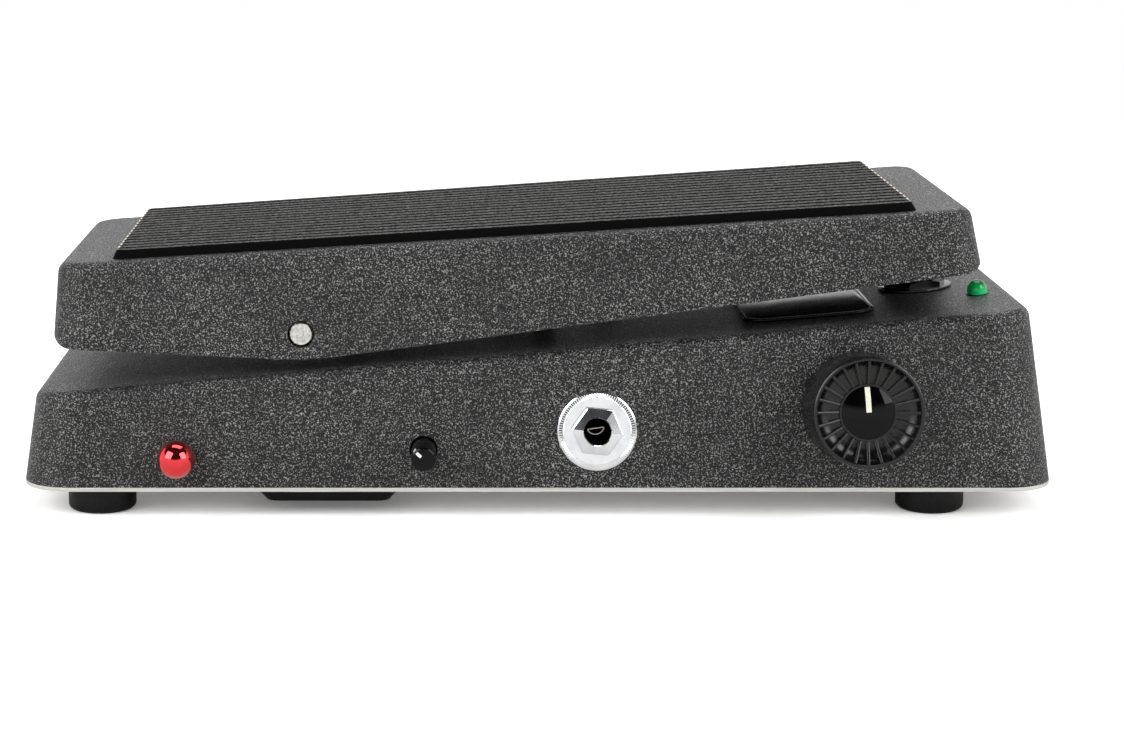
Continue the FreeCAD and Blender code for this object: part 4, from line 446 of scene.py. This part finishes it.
# Sweep drive. A moulded rack hangs from the treadle, runs in a nylon guide and turns a pinion on the
# shaft of a carbon pot under the top face.
white_acetal = textured("white_acetal", "d9d7cf", "efede6", 0.38, 1.0, 0.008)
dress(white_acetal, "rack", "pinion_gear")
drawn_can = textured("drawn_tin_can", "9b9ea2", "cfd2d4", 0.33, 1.8, 0.006, Metallic=1.0)
dress(drawn_can, "sweep_pot", "sweep_pot_shaft")


# Circuit board. Glass-epoxy board hung from four cast posts with a coil, capacitors, resistors and
# transistors on it. Green solder mask with copper tracks under it.
track_pitch = 9.0
solder_mask, shader = surface("green_solder_mask", "0f4a2c", 0.3, Coat_Weight=0.4)
spot = add(solder_mask, "ShaderNodeTexCoord").outputs["Object"]
tracks = add(solder_mask, "ShaderNodeTexBrick", {"Vector": spot, "Scale": 1000 / track_pitch,
                                                 "Mortar Size": 0.05, "Color1": paint("0c3f25"),
                                                 "Color2": paint("0f4a2c"), "Mortar": paint("2f8a4d")})
solder_mask.node_tree.links.new(tracks.outputs["Color"], shader.inputs["Base Color"])
dress(solder_mask, "circuit_board")
dress(textured("blue_film_and_sleeve", "15305c", "24508f", 0.35, 2.0, 0.01), "capacitors")
dress(textured("tan_resistor_lacquer", "b08a55", "cba873", 0.4, 0.8, 0.02), "resistors")
dress(textured("epoxy_transistor_black", "0d0d0d", "1a1919", 0.5, 0.4, 0.01), "transistors")
dress(textured("coil_pot_core", "6f3a22", "8c4c2e", 0.45, 1.2, 0.02), "inductor")
dress(black_abs, "boost_pot", "boost_switch", "range_switch", "power_jack")


# Jacks. Two enclosed phone jacks, one through each side wall, held by a dress washer and a hexagon
# nut. Turned brass, nickel-plated: bright, faintly bluish, with knurled washer rims.
draft = math.radians(8.0)
base_low, base_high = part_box("base_casting")
floor_level = base_low.z / MM
near_edge, far_edge = base_low.y / MM, base_high.y / MM


def near_wall(x, z, level=False):
    """A seat on the input side's wall; a level one ignores the wall's draft."""
    lean = 0 if level else draft
    y = near_edge + (z - floor_level) * math.tan(draft)
    return seat(x, y, z, (1, 0, 0), (0, -math.cos(lean), math.sin(lean)))


def far_wall(x, z):
    """A seat on the output side's wall, x the other way round."""
    y = far_edge - (z - floor_level) * math.tan(draft)
    return seat(x, y, z, (-1, 0, 0), (0, math.cos(draft), math.sin(draft)))


def hexagon_nut(flats, bore, thickness, lift=0.0, turn=0.0, rise=0.0):
    """A turned ring drawn out to six flats; rise lifts its six front facets towards the bore."""
    apothem = flats / 2
    crown = apothem * 0.96
    top = lift + thickness
    bm = turned([(bore, lift), (apothem, lift), (apothem, top - 0.15), (crown, top),
                 (bore + 0.22, top + rise), (bore, top + rise - 0.22)], steps=72)
    for vert in bm.verts:
        r = math.hypot(vert.co.x, vert.co.y)
        angle = math.atan2(vert.co.y, vert.co.x)
        off_flat = math.cos(angle % math.radians(60) - math.radians(30))
        if r > crown + 0.01 or rise and r > crown - 0.01:
            vert.co.x /= off_flat
            vert.co.y /= off_flat
        if rise and vert.co.z > top + 0.01:
            vert.co.z += rise * r * (1 - off_flat) / (apothem - bore)
        elif not rise and r > crown + 0.01 and vert.co.z > lift + 0.01:
            vert.co.z = top - (r / off_flat - crown) * math.tan(math.radians(28))
    bmesh.ops.rotate(bm, cent=(0, 0, 0), matrix=Matrix.Rotation(math.radians(turn), 3, "Z"), verts=bm.verts)
    return bm


def dress_washer(bore, radius, thickness, teeth):
    """A turned washer with a sloping rim, knurled by fine radial teeth."""
    rim = ((bore, 0), (radius, 0), (radius, thickness * 0.45), (radius - 0.35, thickness * 0.72),
           (radius - 0.55, thickness * 0.84), (radius - 1.35, thickness * 0.97), (radius - 1.5, thickness),
           (bore + 0.1, thickness), (bore, thickness - 0.1))
    bm = turned(rim, steps=2 * teeth)
    for vert in bm.verts:
        r = math.hypot(vert.co.x, vert.co.y)
        tooth = round(math.atan2(vert.co.y, vert.co.x) / math.pi * teeth)
        if radius - 1.4 < r < radius - 0.5 and vert.co.z > thickness / 2 and tooth % 2:
            vert.co.z -= 0.1
    return bm


nickel = textured("bright_nickel_plate", "dfe2e6", "f8f9fa", 0.14, 6.0, 0.001, spread=0.04, Metallic=1.0)
jack_x, jack_height = 14.2, 21.8
washer_bore, washer_radius, washer_thickness, washer_teeth = 4.55, 9.7, 0.8, 96
nut_flats, nut_thickness, nut_turn = 11.1, 2.1, -6
face_flats, face_bore, face_thickness, face_lift, face_rise = 10.9, 3.3, 0.3, 2.86, 0.42
jack_places = (("near", near_wall(jack_x, jack_height)), ("far", far_wall(jack_x, jack_height)))
for side, where in jack_places:
    washer_node, nut_node = ((), ()) if side == "far" else (("jack_washers",), ("jack_nuts",))
    fitted(dress_washer(washer_bore, washer_radius, washer_thickness, washer_teeth),
           f"dress_washer_{side}", where, nickel, "base", "zinc_plate", *washer_node, crisp=14)
    fitted(hexagon_nut(nut_flats, washer_bore, nut_thickness, lift=washer_thickness, turn=nut_turn),
           f"jack_nut_{side}", where, nickel, "base", "zinc_plate", *nut_node, crisp=14)
    fitted(hexagon_nut(face_flats, face_bore, face_thickness, lift=face_lift, turn=nut_turn, rise=face_rise),
           f"jack_nut_face_{side}", where, nickel, "base", "zinc_plate", crisp=4)
dress(textured("matt_black_nylon", "020202", "060606", 0.9, 0.8, 0.01, Specular_IOR_Level=0.0),
      "input_jack", "output_jack")


def threaded_barrel(root, crest, pitch, low, high, bore):
    """A screw-threaded barrel: one thread profile spun up its helix, cut flat, faced and bored."""
    bm = bmesh.new()
    verts = [bm.verts.new((r, 0, z)) for r, z in ((root, 0), (crest, pitch / 2), (root, pitch))]
    edges = [bm.edges.new(pair) for pair in zip(verts, verts[1:])]
    turns = math.ceil((high - low) / pitch) + 2
    steps = 40
    bmesh.ops.spin(bm, geom=verts + edges, axis=(0, 0, 1), cent=(0, 0, 0), dvec=(0, 0, pitch / steps),
                   angle=math.tau * turns, steps=steps * turns)
    bmesh.ops.translate(bm, vec=(0, 0, low - pitch), verts=bm.verts)
    bmesh.ops.remove_doubles(bm, verts=bm.verts, dist=MM)
    for level, way in ((low, -1), (high, 1)):
        bmesh.ops.bisect_plane(bm, geom=bm.verts[:] + bm.edges[:] + bm.faces[:], plane_co=(0, 0, level),
                               plane_no=(0, 0, way), clear_outer=True)
    rims = [e for e in bm.edges if e.is_boundary]
    made = bmesh.ops.extrude_edge_only(bm, edges=rims)["geom"]
    for vert in verts_of(made):
        r = math.hypot(vert.co.x, vert.co.y)
        vert.co.x *= bore / r
        vert.co.y *= bore / r
    inner = [[g for g in made if isinstance(g, bmesh.types.BMEdge) and g.is_boundary
              and abs(g.verts[0].co.z - level) < 0.01] for level in (low, high)]
    bmesh.ops.bridge_loops(bm, edges=inner[0] + inner[1])
    return bm


# Contact spring. The tip spring of phosphor bronze crosses the jack's bore, bent to a shallow bow, and
# glints in the dark hole.
spring_reach, spring_bow, spring_offset, spring_lean = 2.1, 1.7, 0.3, 8
spring_depth, spring_width, spring_thickness = 6.0, 3.0, 0.22
spring_bronze = textured("phosphor_bronze", "a99f8c", "d8cfbd", 0.25, 1.0, 0.004, Metallic=1.0)
for side, where in jack_places:
    bm = bmesh.new()
    bow = bmesh.ops.create_circle(bm, segments=32, radius=1)["verts"]
    for vert in bow:
        vert.co = (vert.co.x * spring_reach, min(vert.co.y, 0.0) * spring_bow + spring_offset, -spring_depth)
    bmesh.ops.rotate(bm, cent=(0, 0, 0), matrix=Matrix.Rotation(math.radians(spring_lean), 3, "Z"),
                     verts=bm.verts)
    strip = bmesh.ops.extrude_edge_only(bm, edges=bm.edges)["geom"]
    bmesh.ops.translate(bm, vec=(0, 0, -spring_width), verts=verts_of(strip))
    bmesh.ops.recalc_face_normals(bm, faces=bm.faces)
    bmesh.ops.solidify(bm, geom=bm.faces[:], thickness=spring_thickness)
    fitted(bm, f"tip_spring_{side}", where, spring_bronze, "base", "zinc_plate")


# Range selector knob. A moulded phenolic-look knob: thin rim, dished face with fine radial ribs, and a
# glossy domed cap with a cream pointer filled in.
range_x, range_height = 77.8, 27.4
range_seat = near_wall(range_x, range_height)
knob_front, dish_floor = 18.4, 15.2
knob_profile = ((3.05, 14.2), (6.4, 14.2), (6.4, 16.35), (6.8, 16.35), (6.95, dish_floor + 0.05),
                (8.6, dish_floor), (9.8, dish_floor + 0.15), (10.8, 15.75), (11.5, 16.3), (12.0, 17.0),
                (12.3, 17.8), (12.4, 18.25), (12.55, knob_front), (12.95, knob_front), (13.22, 18.25),
                (13.32, 17.95), (13.89, 1.4), (13.8, 1.05), (13.45, 0.8), (9.0, 0.8), (9.0, 5.0), (3.05, 5.0))
bm = turned(knob_profile, steps=144)
rib_count, rib_width = 24, 0.72
rib = bmesh.new()
outline = [rib.verts.new((x, -rib_width / 2, z)) for x, z in
           ((6.6, 15.0), (12.45, 15.0), (12.45, 17.75), (6.6, 16.1))]
face = rib.faces.new(outline)
grown = bmesh.ops.extrude_face_region(rib, geom=[face])["geom"]
bmesh.ops.translate(rib, vec=(0, rib_width, 0), verts=verts_of(grown))
crest = [e for e in rib.edges if abs(e.verts[0].co.y - e.verts[1].co.y) < 0.01
         and min(v.co.z for v in e.verts) > 15.9]
bmesh.ops.bevel(rib, geom=crest, offset=0.2, offset_type="OFFSET", segments=2, profile=0.5, affect="EDGES",
                clamp_overlap=True, material=-1)
bmesh.ops.spin(rib, geom=rib.verts[:] + rib.edges[:] + rib.faces[:], axis=(0, 0, 1), cent=(0, 0, 0),
               angle=math.tau * (rib_count - 1) / rib_count, steps=rib_count - 1, use_duplicate=True)
rib_mesh = bpy.data.meshes.new("knob_rib")
rib.to_mesh(rib_mesh)
rib.free()
bm.from_mesh(rib_mesh)
satin_phenolic = textured("satin_black_phenolic", "0a0a0a", "141414", 0.26, 0.9, 0.006,
                          Specular_IOR_Level=0.5)
fitted(bm, "ribbed_knob", range_seat, satin_phenolic, "range_selector", "black_plastic", "range_knob",
       crisp=25)

cap_radius, cap_top, cap_drop = 6.3, 17.4, 1.1
dome_radius = (cap_radius ** 2 + cap_drop ** 2) / (2 * cap_drop)
dome = [(dome_radius * math.sin(a), cap_top - dome_radius * (1 - math.cos(a)))
        for a in [math.asin(cap_radius / dome_radius) * i / 12 for i in range(13)]]
piano_black = textured("piano_black_acrylic", "020202", "040404", 0.05, 3.0, 0.001, spread=0.02,
                       Specular_IOR_Level=0.2)
fitted(turned(dome + [(cap_radius, 14.25), (0, 14.25)], steps=96), "knob_cap", range_seat, piano_black,
       "range_selector", "gloss_plastic", "range_knob_cap")


def pointer(length, width, start, slant, height_at, thickness):
    """A filled-in pointer line: a thin strip laid on a face, from a start radius outwards."""
    bm = bmesh.new()
    bmesh.ops.create_grid(bm, x_segments=2, y_segments=16, size=0.5)
    lean = math.radians(slant)
    for vert in bm.verts:
        across, up = vert.co.x * width, (vert.co.y + 0.5) * length + start
        x = across * math.cos(lean) - up * math.sin(lean)
        y = across * math.sin(lean) + up * math.cos(lean)
        vert.co = (x, y, height_at(math.hypot(x, y)) + thickness)
    made = bmesh.ops.extrude_face_region(bm, geom=bm.faces[:])["geom"]
    bmesh.ops.translate(bm, vec=(0, 0, -2 * thickness), verts=verts_of(made))
    return bm


cream_fill = textured("cream_pointer_paint", "ece7d2", "f7f3e4", 0.35, 0.8, 0.004)
cap_line, cap_line_width, cap_line_start, cap_line_slant, cap_line_lift = 6.0, 1.25, 0.15, 3.5, 0.05
bm = pointer(cap_line, cap_line_width, cap_line_start, cap_line_slant,
             lambda r: cap_top - dome_radius + math.sqrt(dome_radius ** 2 - r * r), cap_line_lift)
fitted(bm, "knob_pointer", range_seat, cream_fill, "range_selector", "nylon")
dress(zinc_plate, "range_switch_nut", "range_switch_shaft")


# Boost level. A glossy black spindle knob in a hole in the wall, with a white pointer stripe that
# wraps over its rounded front edge.
level_x, level_height = -28.1, 17.2
level_seat = near_wall(level_x, level_height, level=True)
low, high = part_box("boost_knob")
wall_here = near_edge + (level_height - floor_level) * math.tan(draft)
level_front = wall_here - low.y / MM
level_back = wall_here - high.y / MM
level_radius, stem_radius, stem_length = 3.0, 1.5, 3.3
level_profile = ((0, level_back), (stem_radius, level_back), (stem_radius, level_back + stem_length),
                 (level_radius, level_back + stem_length), (level_radius, level_front - 0.55),
                 (level_radius - 0.12, level_front - 0.2), (level_radius - 0.4, level_front),
                 (level_radius - 0.9, level_front - 0.08), (0, level_front - 0.14))
fitted(turned(level_profile, steps=64), "level_knob", level_seat, piano_black, "boost_level",
       "gloss_plastic", "boost_knob")
white_fill = textured("white_pointer_paint", "eeeeee", "fbfbfb", 0.35, 0.8, 0.003)
stripe_length, stripe_width, stripe_start, stripe_slant = 2.05, 0.75, 0.85, 45
bm = pointer(stripe_length, stripe_width, stripe_start, stripe_slant,
             lambda r: level_front - 0.1 - max(r - 2.5, 0) * 0.5, 0.06)
fitted(bm, "level_pointer", level_seat, white_fill, "boost_level", "nylon")
bm = bmesh.new()
bmesh.ops.create_grid(bm, x_segments=4, y_segments=4, size=0.5)
for vert in bm.verts:
    angle = math.radians(90 + stripe_slant) + vert.co.x * stripe_width / level_radius
    depth = level_front - 0.45 + (vert.co.y - 0.5) * 1.5
    vert.co = ((level_radius + 0.04) * math.cos(angle), (level_radius + 0.04) * math.sin(angle), depth)
bmesh.ops.recalc_face_normals(bm, faces=bm.faces)
bmesh.ops.solidify(bm, geom=bm.faces[:], thickness=0.08)
fitted(bm, "level_pointer_side", level_seat, white_fill, "boost_level", "nylon")


# Boost button. A round-nosed push cap, moulded and vacuum-metallised in mirror red.
button_x, button_height = -88.1, 15.3
button_seat = near_wall(button_x, button_height)
button_radius, button_back, button_start = 4.68, 1.9, 5.0
stalk_radius, stalk_end = 2.8, -7.0
nose = [(button_radius * math.cos(a), button_start + button_radius * math.sin(a))
        for a in [math.pi / 2 * i / 24 for i in range(25)]]
nose[-1] = (0, nose[-1][1])
button_profile = [(0, stalk_end), (stalk_radius, stalk_end), (stalk_radius, button_back),
                  (button_radius - 0.5, button_back), (button_radius - 0.13, button_back + 0.13),
                  (button_radius, button_back + 0.5)] + nose
mirror_red = textured("mirror_red_metallising", "f02a32", "fc343c", 0.06, 4.0, 0.001, spread=0.02,
                      Metallic=1.0, Coat_Weight=1.0)
fitted(turned(button_profile, steps=96), "mirror_button", button_seat, mirror_red, "boost_push",
       "red_chrome", "boost_button")


# Toe switch. A heavy latching foot switch: a threaded bushing in black oxide through the top face, a
# flat washer and a hexagon nut in gloss black enamel, and a plated plunger under the treadle's pad.
heel_height_x, heel_height, toe_height_x, toe_height = -124.0, 30.2, 121.0, 51.0
top_rise = math.atan2(toe_height - heel_height, toe_height_x - heel_height_x)


def on_top(x, y=0.0):
    """A seat on the base's sloping top face, x uphill."""
    z = heel_height + (x - heel_height_x) * math.tan(top_rise)
    return seat(x, shift + y, z, (math.cos(top_rise), 0, math.sin(top_rise)),
                (-math.sin(top_rise), 0, math.cos(top_rise)))


toe_switch_x = 99.0
toe_seat = on_top(toe_switch_x)
thread_root, thread_crest, thread_pitch, thread_low, thread_high, thread_bore = 5.35, 5.9, 0.9, 0.1, 9.6, 4.55
toe_bore, toe_washer_radius, toe_washer_height = 5.95, 9.4, 0.7
toe_nut_flats, toe_nut_height, toe_nut_turn = 14.4, 2.0, 12
fitted(threaded_barrel(thread_root, thread_crest, thread_pitch, thread_low, thread_high, thread_bore),
       "toe_switch_thread", toe_seat, black_oxide, "base", "black_plating", crisp=20)
black_enamel = textured("gloss_black_enamel", "030303", "0b0b0c", 0.14, 1.2, 0.004, Specular_IOR_Level=0.5)
fitted(turned(((toe_bore, 0), (toe_washer_radius, 0), (toe_washer_radius, toe_washer_height),
               (toe_bore, toe_washer_height)), steps=72, round_by=0.15), "toe_switch_washer", toe_seat,
       black_enamel, "base", "black_plating", "toe_switch_nut")
fitted(hexagon_nut(toe_nut_flats, toe_bore, toe_nut_height, lift=toe_washer_height, turn=toe_nut_turn),
       "toe_switch_hexagon", toe_seat, black_enamel, "base", "black_plating", crisp=14)
dress(black_oxide, "toe_switch")
dress(zinc_plate, "toe_switch_plunger")


# Lamp. A five-millimetre dome lamp of green-tinted epoxy, its colour painted light at the foot and
# shade at the crown, with a thin black ring at its foot that is painted shade where the dome meets
# the top face.
lamp_x, lamp_y = 112.0, -16.9
lamp_seat = on_top(lamp_x, lamp_y)
lamp_radius, dome_base = 2.5, 1.2
lamp_level = (lamp_seat @ Vector((0, 0, 0))).z / MM
shell = [(lamp_radius * math.cos(a), dome_base + lamp_radius * math.sin(a))
         for a in [math.pi / 2 * i / 20 for i in range(21)]]
shell[-1] = (0, shell[-1][1])
green_epoxy, shader = surface("green_tinted_epoxy", "12b45c", 0.06, Transmission_Weight=0.1, IOR=1.5)
spot = add(green_epoxy, "ShaderNodeTexCoord").outputs["Object"]
above = add(green_epoxy, "ShaderNodeSeparateXYZ", {0: spot})
# The lens colour is painted lighter towards the bottom and darker towards the top: painted light from the
# bright floor below, painted shade above.
painted_light_height = add(green_epoxy, "ShaderNodeMapRange",
                 {"Value": above.outputs["Z"], "From Min": lamp_level * MM,
                  "From Max": (lamp_level + dome_base + lamp_radius) * MM})
tint = add(green_epoxy, "ShaderNodeValToRGB", {"Fac": painted_light_height.outputs[0]},
           stops=((0.2, "22ff94"), (0.95, "043c1a"), (0.6, "0cc45e")))
green_epoxy.node_tree.links.new(tint.outputs[0], shader.inputs["Base Color"])
flange_radius, flange_low, flange_high = 2.95, -4.0, -3.1
lamp_profile = [(0, flange_low), (flange_radius, flange_low), (flange_radius, flange_high),
                (lamp_radius, flange_high)] + shell
fitted(turned(lamp_profile, steps=72), "lamp_lens", lamp_seat, green_epoxy, "base", "green_lens",
       "status_lamp")
# A thin black ring round the lens's foot: a dark piece standing for the shade where the dome meets the top
# face.
foot_shade_ring_profile = ((lamp_radius + 0.05, 0), (2.85, 0), (2.8, 0.16), (lamp_radius + 0.05, 0.2))
fitted(turned(foot_shade_ring_profile, steps=64, round_by=0.05), "lamp_foot_shade_ring", lamp_seat, black_abs, "base",
       "black_plastic")


# Name plate. A bare glossy plate let onto the top face, with a thin pale line printed round its edge.
plate_x = 68.0
plate_seat = on_top(plate_x)
plate_length, plate_width, plate_corner, plate_height = 33.0, 63.0, 6.0, 0.8
line_inset, line_width, line_height = 0.7, 0.28, 0.04


def rounded_plate(length, width, corner, height):
    """A flat plate with round corners, from a scaled cube with its upright edges rounded."""
    bm = bmesh.new()
    bmesh.ops.create_cube(bm, size=1)
    bmesh.ops.scale(bm, vec=(length, width, height), verts=bm.verts)
    bmesh.ops.translate(bm, vec=(0, 0, height / 2), verts=bm.verts)
    uprights = [e for e in bm.edges if abs(e.verts[0].co.z - e.verts[1].co.z) > height / 2]
    bmesh.ops.bevel(bm, geom=uprights, offset=corner, offset_type="OFFSET", segments=10, profile=0.5,
                    affect="EDGES", material=-1)
    return bm


bm = rounded_plate(plate_length, plate_width, plate_corner, plate_height)
rounded(bm, 0.18)
plate_black = textured("black_anodised_plate", "020202", "050505", 0.16, 3.0, 0.001, spread=0.03,
                       Specular_IOR_Level=0.18)
fitted(bm, "gloss_name_plate", plate_seat, plate_black, "base", "gloss_plastic", "name_plate")
bm = rounded_plate(plate_length - 2 * line_inset, plate_width - 2 * line_inset,
                   plate_corner - line_inset, line_height)
upper = max(bm.faces, key=lambda f: f.calc_center_median().z)
bmesh.ops.inset_region(bm, faces=[upper], thickness=line_width, depth=0)
bmesh.ops.delete(bm, geom=[f for f in bm.faces if f == upper or abs(f.normal.z) < 0.5
                           or f.calc_center_median().z < 0.01], context="FACES")
bmesh.ops.translate(bm, vec=(0, 0, plate_height - 0.02), verts=bm.verts)
made = bmesh.ops.extrude_face_region(bm, geom=bm.faces[:])["geom"]
bmesh.ops.translate(bm, vec=(0, 0, -0.05), verts=verts_of(made))
pale_print = textured("pale_screen_print", "9d9d9d", "c9c9c9", 0.4, 1.0, 0.002)
fitted(bm, "name_plate_line", plate_seat, pale_print, "base", "nylon")


# Hookup wire. Thin stranded wire in vinyl sleeve, soldered from the battery snap and both jacks to the
# board. It's slack between its ends.
wire_vinyl = textured("red_vinyl_sleeve", "7c1512", "a81f1a", 0.45, 2.0, 0.01)
wire_routes = {
    "battery_lead": ((-51.8, 18.316, 18.0), (-51.8, 22.416, 18.0), (-27.3, 22.416, 18.0),
                     (-27.3, 22.416, 9.3), (35.0, 22.416, 9.3), (35.0, 14.316, 9.3), (35.0, 14.316, 14.5)),
    "input_lead": ((14.2, -14.908, 18.028), (14.2, -6.908, 18.028), (34.0, -6.908, 18.028),
                   (34.0, -6.908, 16.1)),
    "output_lead": ((23.2, 41.116, 21.8), (42.0, 41.116, 21.8), (42.0, 31.116, 21.8),
                    (42.0, 31.116, 16.1)),
}
for name, route in wire_routes.items():
    curve = bpy.data.curves.new(name, "CURVE")
    curve.dimensions = "3D"
    line = curve.splines.new("NURBS")
    line.points.add(len(route) - 1)
    for point, spot in zip(line.points, route):
        point.co = (*[v * MM for v in spot], 1)
    line.order_u = 3
    line.use_endpoint_u = True
    line.resolution_u = 16
    curve.bevel_depth = 0.00065
    curve.bevel_resolution = 4
    curve.use_fill_caps = True
    curve.materials.append(wire_vinyl)
    wire = bpy.data.objects.new(name, curve)
    scene.collection.objects.link(wire)
    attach(wire, "base")
    if name == "battery_lead":
        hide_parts("hookup_wires")

low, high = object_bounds()
